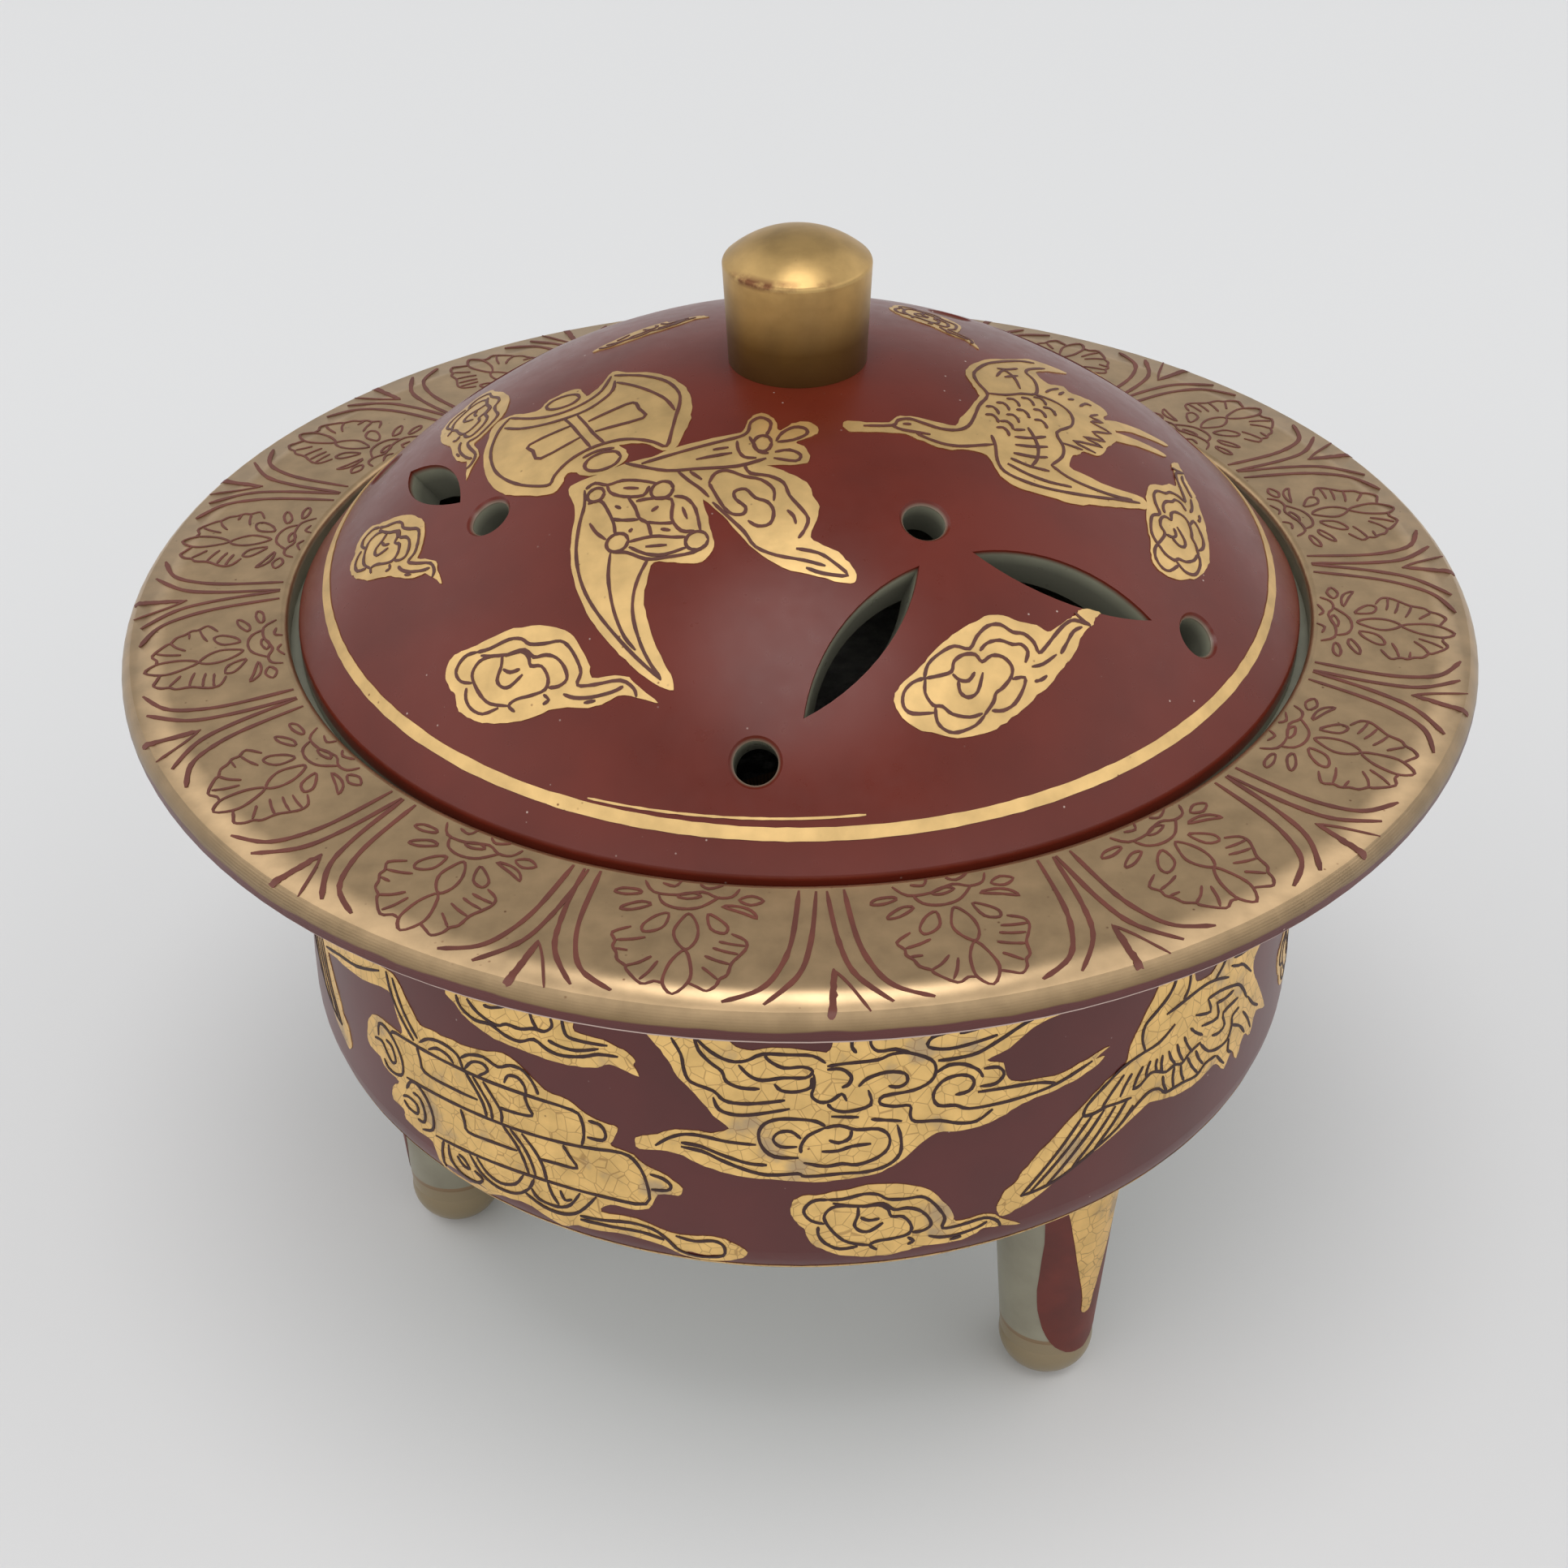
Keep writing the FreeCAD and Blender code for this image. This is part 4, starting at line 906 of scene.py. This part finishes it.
# Colours
RED = (0.138, 0.0170, 0.0080)
# The lid's red enamel made darker for the bowl: painted shade for the side under the rim
SHADED_BOWL_RED = (0.102, 0.016, 0.013)
DUST = (0.500, 0.380, 0.330)
GOLD = (0.830, 0.560, 0.240)
PALE_GOLD = (0.930, 0.610, 0.230)
THIN_GOLD = (0.400, 0.310, 0.230)
RIM_GOLD = (0.640, 0.445, 0.250)
# Dark brown for the lip's lower part: painted shade
LIP_PAINTED_SHADE = (0.200, 0.130, 0.060)
# Pale colour along the lip's lower edge: a painted reflection of the floor
LIP_PAINTED_REFLECTION = (0.600, 0.440, 0.380)
KNOB_GOLD = (0.620, 0.405, 0.160)
# Dark brown towards the knob's foot: painted shade
KNOB_FOOT_SHADE = (0.170, 0.095, 0.028)
# Brown of worn gold, also mixed into the feet's celadon as painted shade
WEAR_AND_SHADE_BROWN = (0.200, 0.085, 0.040)
CELADON = (0.300, 0.300, 0.220)
# Dark celadon for deep inside the lid: painted shade
SHADED_CELADON = (0.140, 0.138, 0.105)
# Gold-brown of the feet's tip band, made darker by painted shade
FOOT_TIP_SHADED = (0.280, 0.215, 0.125)
FOOT_LINE = (0.220, 0.140, 0.070)
CHARCOAL = (0.012, 0.011, 0.010)
CHARCOAL_DUST = (0.160, 0.150, 0.140)
WOOD = (0.160, 0.075, 0.030)
WOOD_GRAIN = (0.080, 0.035, 0.015)
ASH = (0.420, 0.400, 0.370)
ASH_SHADE = (0.260, 0.250, 0.230)
FLOOR_GREY = (0.745, 0.750, 0.757)
WHITE = (1.0, 1.0, 1.0)

METALLIC_GOLD = 0.95
METALLIC_FOOT_TIP = 0.25
# Share of painted shade in the feet's celadon
FOOT_PAINTED_SHADE = 0.18
GLAZE_ROUGHNESS = 0.34
LID_SHINE = 0.34


# Materials

def darker(colour, share):
    """A colour with only a share of its brightness."""
    return tuple(part * share for part in colour)


def red_glaze(paint, red):
    """Red with soft clouding and a few pale specks."""
    clouded = paint.clouds(red, darker(red, 0.8), 9 * MM, low=0.35)
    specks = paint.times(paint.ramp(paint.cells(1.6 * MM), 0.07, 0.03),
                         paint.ramp(paint.noise(5 * MM), 0.52, 0.62))
    return paint.mix(specks, clouded, DUST)


def worn_gold(paint, gold, pits):
    """Gold with a mottled tone and brown pits where it has worn through."""
    toned = paint.clouds(gold, darker(gold, 0.72), 2.5 * MM, high=0.75, detail=5.0)
    holes = paint.times(paint.ramp(paint.cells(0.9 * MM), 0.16, 0.06),
                        paint.ramp(paint.noise(3 * MM), 0.62 - pits, 0.72 - pits))
    return paint.mix(holes, toned, WEAR_AND_SHADE_BROWN)


def celadon_glaze(paint):
    """Grey green with soft clouding."""
    return paint.clouds(CELADON, darker(CELADON, 0.75), 4 * MM)


def lid_paint():
    """Red over the dome and around its edge, celadon in the openings, darkened deeper in and underneath by
    painted shade.
    """
    paint = Paint("lid_glaze")
    centred = paint.node("ShaderNodeVectorMath", operation="DISTANCE")
    paint.feed(centred.inputs[0], paint.place["Object"])
    paint.feed(centred.inputs[1], tuple(DOME_CENTRE))
    x, y, z = paint.parts(paint.place["Object"])
    depth = paint.maths("SUBTRACT", DOME_RADIUS, centred.outputs["Value"])
    above_shoulder = paint.maths("SUBTRACT", z, LID_SHOULDER)
    from_edge = paint.maths("SUBTRACT", LID_RADIUS, paint.from_axis(x, y))
    dome = paint.times(paint.ramp(depth, 0.55 * MM, 0.15 * MM),
                       paint.ramp(above_shoulder, -0.1 * MM, 0.2 * MM))
    edge = paint.times(paint.ramp(from_edge, 1.0 * MM, 0.8 * MM),
                       paint.ramp(above_shoulder, -1.3 * MM, -1.1 * MM))
    # Painted shade: the celadon darkens deeper inside the lid
    deep_shade = paint.ramp(depth, 0.5 * MM, 1.6 * MM)
    hollow = paint.mix(deep_shade, celadon_glaze(paint), SHADED_CELADON)
    paint.set("Base Color", paint.mix(paint.maths("MAXIMUM", dome, edge), hollow, red_glaze(paint, RED)))
    paint.set("Roughness", paint.ramp(paint.noise(1.5 * MM, 5.0), 0.0, 1.0, first=0.22, last=0.38))
    paint.set("Specular IOR Level", LID_SHINE)
    paint.bump(paint.noise(6 * MM), 0.08 * MM, 0.3)
    return paint.material


# Heights and distances from the axis at which the bowl's colours change
RED_FROM = 31.2 * MM
FLANGE_FROM = 43.5 * MM
LIP_FROM = 55.0 * MM
LIP_REFLECTION_BELOW = 67.74 * MM
LIP_GOLD_FROM = 68.45 * MM
LIP_WEAR = 0.35 * MM
LIP_MIDDLE = 68.5 * MM
LIP_TOP = 69.8 * MM
FACING_DOWN = -0.4
# The rim is shaded as if it bent down from this radius, more the further out it goes
RIM_BEND_FROM = 56.0 * MM
RIM_BEND = 150.0


def bowl_paint():
    """Gold rim with painted shade down its lip, red side and lower lip darkened by painted shade with a pale
    edge of painted reflection, celadon inside and underneath.
    """
    paint = Paint("bowl_glaze", GLAZE_ROUGHNESS)
    x, y, z = paint.parts(paint.place["Object"])
    normal_x, normal_y, normal_z = paint.parts(paint.place["Normal"])
    radius = paint.from_axis(x, y)
    outward = paint.maths("ADD", paint.times(normal_x, x), paint.times(normal_y, y))
    facing_out = paint.maths("GREATER_THAN", outward, 0.0)
    under_flange = paint.times(paint.maths("LESS_THAN", normal_z, FACING_DOWN),
                               paint.maths("GREATER_THAN", radius, FLANGE_FROM))
    on_lip = paint.maths("GREATER_THAN", radius, LIP_FROM)
    below_mouth = paint.ramp(z, LIP_MIDDLE + 0.1 * MM, LIP_MIDDLE)
    red = paint.times(paint.maths("MAXIMUM", facing_out, under_flange),
                      paint.maths("MAXIMUM", on_lip, below_mouth),
                      paint.ramp(z, RED_FROM, RED_FROM + 0.3 * MM))
    # The bowl's red is darker than the lid's: painted shade
    glaze = paint.mix(red, celadon_glaze(paint), red_glaze(paint, SHADED_BOWL_RED))
    # A pale line along the lip's lower edge: painted reflection
    lip_reflection = paint.times(on_lip, facing_out, paint.ramp(z, LIP_REFLECTION_BELOW, LIP_REFLECTION_BELOW - 0.06 * MM))
    glaze = paint.mix(lip_reflection, glaze, LIP_PAINTED_REFLECTION)
    wear = paint.times(paint.ramp(paint.noise(14 * MM), 0.38, 0.60), LIP_WEAR)
    unworn = paint.ramp(paint.maths("SUBTRACT", z, wear), LIP_GOLD_FROM, LIP_GOLD_FROM + 0.15 * MM)
    gilt = paint.times(unworn, paint.maths("GREATER_THAN", normal_z, FACING_DOWN),
                       paint.ramp(radius, RIM_INNER_RADIUS - 0.05 * MM, RIM_INNER_RADIUS + 0.1 * MM))
    # The gold darkens down the lip, from its top to its middle: painted shade
    gold = paint.mix(paint.ramp(z, LIP_MIDDLE, LIP_TOP), LIP_PAINTED_SHADE, worn_gold(paint, RIM_GOLD, 0.04))
    paint.set("Base Color", paint.mix(gilt, glaze, gold))
    paint.set("Metallic", paint.times(gilt, METALLIC_GOLD))
    past_bend = paint.maths("MAXIMUM", paint.maths("SUBTRACT", radius, RIM_BEND_FROM), 0.0)
    fall = paint.times(past_bend, past_bend, RIM_BEND)
    ripple = paint.times(paint.noise(5 * MM), 0.024 * MM)
    paint.bump(paint.maths("SUBTRACT", ripple, fall), 1.0, 1.0)
    return paint.material


def motif_gold(name, gold, roughness, pits, crackle=False):
    """Gold for the motifs, cracked and thin in places where it is crackled."""
    paint = Paint(name, roughness, METALLIC_GOLD)
    colour = worn_gold(paint, gold, pits)
    if crackle:
        cracks = paint.ramp(paint.cells(1.3 * MM, "DISTANCE_TO_EDGE"), 0.035, 0.015, last=0.45)
        thin = paint.ramp(paint.noise(5 * MM, 4.0), 0.58, 0.68, last=0.6)
        colour = paint.mix(cracks, paint.mix(thin, colour, THIN_GOLD), WEAR_AND_SHADE_BROWN)
    paint.set("Base Color", colour)
    paint.bump(paint.noise(0.9 * MM), 0.03 * MM, 0.5)
    return paint.material


def line_paint(name, colour, roughness):
    """One colour with a little cloudy variation."""
    paint = Paint(name, roughness)
    paint.set("Base Color", paint.clouds(colour, darker(colour, 0.7), 3 * MM))
    return paint.material


# Heights at which the knob and the feet change colour
KNOB_EDGE = 101.6 * MM
KNOB_SHADE_BELOW = 95.5 * MM
KNOB_UNSHADED_FROM = 101.3 * MM
FOOT_TIP_TOP = 5.9 * MM


def knob_paint():
    """Gold with painted shade towards its foot, and worn to brown along the front edge of its top."""
    paint = Paint("knob_gold", 0.38, METALLIC_GOLD)
    x, y, z = paint.parts(paint.place["Object"])
    edge = paint.times(paint.ramp(z, KNOB_EDGE - 0.5 * MM, KNOB_EDGE - 0.1 * MM),
                       paint.ramp(z, KNOB_EDGE + 0.6 * MM, KNOB_EDGE + 0.2 * MM))
    front = paint.times(paint.ramp(y, -2.5 * MM, -4.0 * MM), paint.ramp(x, 3.5 * MM, 1.5 * MM))
    worn = paint.times(edge, front, paint.ramp(paint.noise(2 * MM, 4.0), 0.42, 0.56))
    # Painted shade: the gold darkens towards the knob's foot
    unshaded = paint.ramp(z, KNOB_SHADE_BELOW, KNOB_UNSHADED_FROM)
    gold = paint.mix(unshaded, KNOB_FOOT_SHADE, worn_gold(paint, KNOB_GOLD, 0.0))
    paint.set("Base Color", paint.mix(worn, gold, WEAR_AND_SHADE_BROWN))
    paint.bump(paint.noise(1.5 * MM), 0.05 * MM, 0.4)
    return paint.material


def foot_paint():
    """Celadon with painted shade, with a gold-brown band at the tip, also shaded, under a thin brown line.
    """
    paint = Paint("foot_glaze", GLAZE_ROUGHNESS)
    z = paint.parts(paint.place["Object"])[2]
    tip = paint.ramp(z, FOOT_TIP_TOP + 0.2 * MM, FOOT_TIP_TOP)
    line = paint.times(paint.ramp(z, FOOT_TIP_TOP - 0.1 * MM, FOOT_TIP_TOP),
                       paint.ramp(z, FOOT_TIP_TOP + 0.5 * MM, FOOT_TIP_TOP + 0.4 * MM))
    # Painted shade: the feet's celadon is mixed a little towards brown
    shaded_celadon = paint.mix(FOOT_PAINTED_SHADE, celadon_glaze(paint), WEAR_AND_SHADE_BROWN)
    paint.set("Base Color", paint.mix(line, paint.mix(tip, shaded_celadon, FOOT_TIP_SHADED), FOOT_LINE))
    paint.set("Metallic", paint.times(tip, METALLIC_FOOT_TIP))
    return paint.material


def charcoal_paint():
    """Matt black with patches of grey ash."""
    paint = Paint("charcoal", 0.95)
    paint.set("Base Color", paint.clouds(CHARCOAL, CHARCOAL_DUST, 2 * MM, low=0.5, high=0.75, detail=5.0))
    paint.bump(paint.noise(0.8 * MM, 5.0), 0.2 * MM, 0.8)
    return paint.material


def wood_paint():
    """Brown wood with fine grain."""
    paint = Paint("incense_wood", 0.7)
    grain = paint.texture("ShaderNodeTexWave", MM / 0.9)
    grain.inputs["Distortion"].default_value = 4
    paint.set("Base Color", paint.mix(grain.outputs["Fac"], WOOD, WOOD_GRAIN))
    return paint.material


def ash_paint():
    """Matt grey powder."""
    paint = Paint("ash", 0.95)
    paint.set("Base Color", paint.clouds(ASH, ASH_SHADE, 2 * MM, detail=5.0))
    paint.bump(paint.noise(0.7 * MM, 5.0), 0.3 * MM, 0.8)
    return paint.material


LID_GOLD = motif_gold("lid_gold", GOLD, 0.42, 0.06)
BELLY_GOLD = motif_gold("belly_gold", PALE_GOLD, 0.40, 0.02, crackle=True)
LID_LINE = line_paint("lid_line", (0.11, 0.026, 0.014), 0.5)
BELLY_LINE = line_paint("belly_line", (0.045, 0.012, 0.009), 0.6)
RIM_LINE = line_paint("rim_line", (0.16, 0.042, 0.026), 0.5)
FOOT_RED = line_paint("foot_red", RED, 0.5)


def dress(nodes, material):
    """Gives some solids one material."""
    for node in nodes:
        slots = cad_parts[node].data.materials
        slots.clear()
        slots.append(material)


dress(["lid"], lid_paint())
dress(["bowl"], bowl_paint())
dress(["knob"], knob_paint())
dress(["charcoal_tablet"], charcoal_paint())
dress(["incense_chip"], wood_paint())
dress(FEET, foot_paint())


# Decoration laid on the lid

# The point of each drawing that is brought to a new place
CLOUD_PIVOT = (5.6, 3.4)
SWIRL_PIVOT = (14.6, -34.6)
SCROLL_PIVOT = (-27.0, 6.0)
HALF_CLOUD_PIVOT = (-23.0, 18.0)
BANK_PIVOT = (7.0, 15.0)
CRANE_PIVOT = (34.0, 9.0)
MOTIF_LINE_WIDTH = 0.29


def decorated(surface, drawings):
    """The gold and the lines of some drawings, laid on a surface."""
    gold_relief = Relief(surface)
    line_relief = Relief(surface)
    for gold, lines in drawings:
        gold_relief.patches(gold)
        for line in lines:
            line_relief.stroke(line, MOTIF_LINE_WIDTH)
    return gold_relief, line_relief


lid_gold, lid_lines = decorated(on_dome, [
    swirl_cloud(), treasure_weight(), horn_and_ribbon(), flying_crane(),
    placed(tailed_cloud(), CLOUD_PIVOT, (-24.9, -31.2), -8.2, 1.03),
    placed(tailed_cloud(), CLOUD_PIVOT, (-38.5, -9.5), -39, 0.87),
    placed(swirl_cloud(), SWIRL_PIVOT, (34.0, -12.0), 44, 0.87),
    placed(tailed_cloud(), CLOUD_PIVOT, (-30.0, 5.0), -72, 0.9),
    placed(tied_scrolls(), SCROLL_PIVOT, (-4.0, 31.0), 0, 0.45),
    placed(cloud_under_rim(), HALF_CLOUD_PIVOT, (-13.0, 10.0), 18, 0.55),
    placed(tailed_cloud(), CLOUD_PIVOT, (11.5, 13.5), -42, 0.62),
    placed(tailed_cloud(), CLOUD_PIVOT, (24.0, 30.0), -38, 0.8),
    placed(tailed_cloud(), CLOUD_PIVOT, (-22.0, 36.0), 60, 0.7)])

STRIPE_DISTANCE = 46.9
STRIPE_FORWARD = 1.3
STRIPE_WIDTH = 1.05
STRIPE_WOBBLE = 0.06
STRIPE_STEPS = 96
HAIRLINE_DISTANCE = 47.0
HAIRLINE_BEARINGS = range(-113, -81, 3)
HAIRLINE_MIDDLE = -92
HAIRLINE_SLANT = 0.013
HAIRLINE_WIDTH = 0.18
HAIRLINE_WOBBLE = 0.3


def around_top(distance, bearing):
    """A point at a distance and bearing in degrees from the lid's top."""
    return distance * math.cos(math.radians(bearing)), distance * math.sin(math.radians(bearing))


# The stripe was painted off centre, nearer the edge at the front
stripe = []
for step in range(STRIPE_STEPS):
    bearing = 360 * step / STRIPE_STEPS
    stripe.append(around_top(STRIPE_DISTANCE - STRIPE_FORWARD * math.sin(math.radians(bearing)), bearing))
hairline = [around_top(HAIRLINE_DISTANCE - HAIRLINE_SLANT * (bearing - HAIRLINE_MIDDLE), bearing)
            for bearing in HAIRLINE_BEARINGS]
lid_stripe = Relief(on_dome)
lid_stripe.stroke(stripe, STRIPE_WIDTH, True, GOLD_BOTTOM, GOLD_TOP, STRIPE_WOBBLE)
lid_stripe.stroke(hairline, HAIRLINE_WIDTH, False, GOLD_BOTTOM, GOLD_TOP, HAIRLINE_WOBBLE)
lid_gold.piece("lid_gold_motifs", LID_GOLD, "lid")
lid_lines.piece("lid_motif_lines", LID_LINE, "lid")
lid_stripe.piece("lid_gold_stripe", LID_GOLD, "lid")


# Decoration laid on the bowl

belly_gold, belly_lines = decorated(on_belly, [
    tailed_cloud(), cloud_under_rim(), tied_scrolls(), cloud_bank(), rising_crane(),
    placed(rising_crane(), CRANE_PIVOT, (-66.0, 10.0), 0, 1.0, -1),
    placed(tailed_cloud(), CLOUD_PIVOT, (62.0, 5.0), 0, 0.9),
    placed(rising_crane(), CRANE_PIVOT, (88.0, 9.0), 0, 1.0, -1),
    placed(tied_scrolls(), SCROLL_PIVOT, (132.0, 6.0), 0, 0.85),
    placed(cloud_under_rim(), HALF_CLOUD_PIVOT, (112.0, 18.0)),
    placed(cloud_bank(), BANK_PIVOT, (-108.0, 14.0)),
    placed(tailed_cloud(), CLOUD_PIVOT, (-141.0, 5.0)),
    placed(cloud_under_rim(), HALF_CLOUD_PIVOT, (67.0, 18.0)),
    placed(tailed_cloud(), CLOUD_PIVOT, (-98.0, 1.0), 0, 0.9),
    placed(cloud_under_rim(), HALF_CLOUD_PIVOT, (-138.0, 18.5)),
    placed(cloud_under_rim(), HALF_CLOUD_PIVOT, (143.0, 18.8))])

# The thin gold line around the belly's lower edge
BELLY_GIRTH = math.tau * BELLY_RADIUS / MM
BELLY_BAND_STEPS = 96
BELLY_BAND_UP = -2.1
BELLY_BAND_WIDTH = 0.4
BELLY_BAND_WOBBLE = 0.05
belly_band = Relief(on_belly)
belly_band.stroke(
    [(BELLY_GIRTH * step / BELLY_BAND_STEPS, BELLY_BAND_UP) for step in range(BELLY_BAND_STEPS + 1)],
    BELLY_BAND_WIDTH, False, GOLD_BOTTOM, GOLD_TOP, BELLY_BAND_WOBBLE)
belly_gold.piece("bowl_gold_motifs", BELLY_GOLD, "bowl")
belly_lines.piece("bowl_motif_lines", BELLY_LINE, "bowl")
belly_band.piece("bowl_gold_line", BELLY_GOLD, "bowl")

PANELS = 16
FIRST_PANEL = -76.4
PANEL_LEFT_OF_FRONT = 15
PANEL_LEFT_SHIFT = -0.7
RIM_LINE_BOTTOM = -0.05 * MM
RIM_LINE_TOP = 0.05 * MM
RIM_FLOWER_WIDTH = 0.23
RIM_BORDER_WIDTH = 0.40


def on_panel(points, middle):
    """Points of a panel as distances around the rim and radii."""
    return [(math.radians(middle + turn) * RIM_DRAWING_RADIUS, radius) for turn, radius in points]


leaves, strokes, borders, caret = rim_panel()
rim_lines = Relief(on_rim)
for panel in range(PANELS):
    middle = FIRST_PANEL + panel * 360 / PANELS
    if panel == PANEL_LEFT_OF_FRONT:
        middle += PANEL_LEFT_SHIFT
    rim_lines.patches([on_panel(caret, middle)], RIM_LINE_BOTTOM, RIM_LINE_TOP)
    for curves, width, closed in ((leaves, RIM_FLOWER_WIDTH, True), (strokes, RIM_FLOWER_WIDTH, False),
                                  (borders, RIM_BORDER_WIDTH, False)):
        for points in curves:
            rim_lines.stroke(on_panel(points, middle), width, closed, RIM_LINE_BOTTOM, RIM_LINE_TOP)
rim_lines.piece("rim_lines", RIM_LINE, "bowl")


def even_outline(side, bottom, top):
    """An outline alike to the left and right, from the right side's points downwards."""
    return [(-x, y) for x, y in side] + bottom + side[::-1] + top


SHIELD = even_outline([(5.3, 26.0), (5.8, 20.0), (6.3, 13.5), (5.9, 9.5), (4.4, 6.3), (2.2, 4.6)],
                      [(0.0, 4.2)], [(0.0, 26.8)])
WEDGE = even_outline([(3.7, 26.0), (3.0, 21.5), (1.9, 16.0), (0.9, 11.8), (0.6, 9.8)], [], [(0.0, 26.8)])
# The left foot's shield faces further back, because the photo shows no red on that foot
SHIELD_TURNS = {"left_foot": -40, "front_right_foot": 0, "rear_foot": 0}
for node in FEET:
    surface = on_foot(node, SHIELD_TURNS[node])
    shield = Relief(surface)
    shield.patches([SHIELD])
    shield.piece(node + "_red_shield", FOOT_RED, "bowl", "bowl_red_enamel")
    wedge = Relief(surface)
    wedge.patches([WEDGE], GOLD_BOTTOM, 2 * GOLD_TOP)
    wedge.piece(node + "_gold_wedge", BELLY_GOLD, "bowl")


# Ash in the bowl

ASH_BED_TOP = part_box("ash_bed")[1].z
ASH_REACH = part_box("ash_bed")[1].x - 0.4 * MM
ASH_BOTTOM_REACH = 0.9 * ASH_REACH
ASH_DEPTH = 4.0 * MM
ASH_MIDDLE_DROP = 0.8 * MM
ASH_EDGE_DROP = 1.2 * MM
ASH_LUMPS = 70
ASH_RINGS = 26
ASH_SIDES = 72


def circle(radius, height, sides):
    """Points around the upright axis."""
    bearings = [math.tau * side / sides for side in range(sides)]
    return [(radius * math.cos(bearing), radius * math.sin(bearing), height) for bearing in bearings]


def ring_faces(first, second, sides):
    """Faces between two rings of points, given the first number of each."""
    pairs = [(side, (side + 1) % sides) for side in range(sides)]
    return [[first + side, second + side, second + other, first + other] for side, other in pairs]


def ash_heap():
    """A lumpy bed of ash, closed underneath."""
    lumps = [(RANDOM.uniform(-ASH_REACH, ASH_REACH), RANDOM.uniform(-ASH_REACH, ASH_REACH),
              RANDOM.uniform(2, 6) * MM, RANDOM.uniform(-0.5, 0.7) * MM) for _ in range(ASH_LUMPS)]
    middle_height = ASH_BED_TOP - ASH_MIDDLE_DROP
    vertices = [(0, 0, middle_height)]
    for step in range(1, ASH_RINGS + 1):
        share = step / ASH_RINGS
        for x, y, height in circle(ASH_REACH * share, middle_height - ASH_EDGE_DROP * share ** 2, ASH_SIDES):
            for lump_x, lump_y, spread, rise in lumps:
                height += rise * math.exp(-((x - lump_x) ** 2 + (y - lump_y) ** 2) / spread ** 2)
            vertices.append((x, y, min(height, ASH_BED_TOP)))
    bottom = len(vertices)
    vertices += circle(ASH_BOTTOM_REACH, ASH_BED_TOP - ASH_DEPTH, ASH_SIDES)
    faces = [[0, 1 + side, 1 + (side + 1) % ASH_SIDES] for side in range(ASH_SIDES)]
    for first in range(1, bottom, ASH_SIDES):
        faces += ring_faces(first, first + ASH_SIDES, ASH_SIDES)
    faces.append(list(reversed(range(bottom, bottom + ASH_SIDES))))
    return add_piece("ash_heap", vertices, faces, ash_paint(), "bowl")


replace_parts(ash_heap(), "ash_bed")


# Stage: pale floor, soft overhead light, a long low light at the front and bright surroundings

FLOOR_RADIUS = 30.0
FLOOR_SIDES = 64
floor_mesh = bpy.data.meshes.new("floor")
floor_mesh.from_pydata(circle(FLOOR_RADIUS, 0, FLOOR_SIDES), [], [list(range(FLOOR_SIDES))])
floor_paint = Paint("floor", 0.7)
floor_paint.set("Base Color", FLOOR_GREY)
floor_mesh.materials.append(floor_paint.material)
floor = add_object("floor", floor_mesh)


def add_light(name, kind, place, tilt, **settings):
    """A light that shines down, tilted away from the camera by some degrees."""
    light = add_object(name, bpy.data.lights.new(name, kind))
    light.location = place
    light.rotation_euler.x = math.radians(tilt)
    for setting, value in settings.items():
        setattr(light.data, setting, value)
    return light


add_light("overhead_light", "SUN", place=(0, 0, 0.8), tilt=12, energy=0.9, angle=math.radians(34))
front_light = add_light("front_light", "AREA", place=(0, -0.96, 0.72), tilt=53, energy=3.2,
                        shape="RECTANGLE", size=2.4, size_y=0.28)
front_light.visible_camera = False

# The surroundings are brightest to the left and right, and pale where the floor ends
world = bpy.data.worlds.new("surroundings")
world.use_nodes = True
sky = Nodes(world.node_tree)
sky_x, _, sky_z = sky.parts(sky.place["Generated"])
sides = sky.times(sky.ramp(sky.maths("ABSOLUTE", sky_x), 0.28, 0.85, first=0.38, last=1.40),
                  sky.ramp(sky_z, 0.1, 0.45, first=0.3))
horizon = sky.ramp(sky_z, 0.0, 0.55, first=0.74, last=0.30)
background = world.node_tree.nodes["Background"].inputs
sky.feed(background["Strength"], sky.maths("MAXIMUM", sides, horizon))
sky.feed(background["Color"], WHITE)
bpy.context.scene.world = world
bpy.context.scene.view_settings.view_transform = "Standard"


# Camera, at the photograph's angle: angles in radians, place in metres, lens and sensor in millimetres

PITCH = 0.613785
YAW = -0.005966
ROLL = -0.0041973
CAMERA_PLACE = (0.0, -0.20156, 0.19027)
LENS = 59.63
SENSOR_WIDTH = 36.0
right = Vector((1, 0, 0))
ahead = Vector((0, math.cos(PITCH), -math.sin(PITCH)))
up = Vector((0, math.sin(PITCH), math.cos(PITCH)))
turned_right = math.cos(YAW) * right - math.sin(YAW) * ahead
turned_ahead = math.sin(YAW) * right + math.cos(YAW) * ahead
rolled_right = math.cos(ROLL) * turned_right + math.sin(ROLL) * up
rolled_up = -math.sin(ROLL) * turned_right + math.cos(ROLL) * up
camera = add_object("camera", bpy.data.cameras.new("camera"))
camera.data.sensor_width = SENSOR_WIDTH
camera.data.lens = LENS
rotation = Matrix((rolled_right, rolled_up, -turned_ahead)).transposed().to_4x4()
camera.matrix_world = Matrix.Translation(CAMERA_PLACE) @ rotation
bpy.context.scene.camera = camera
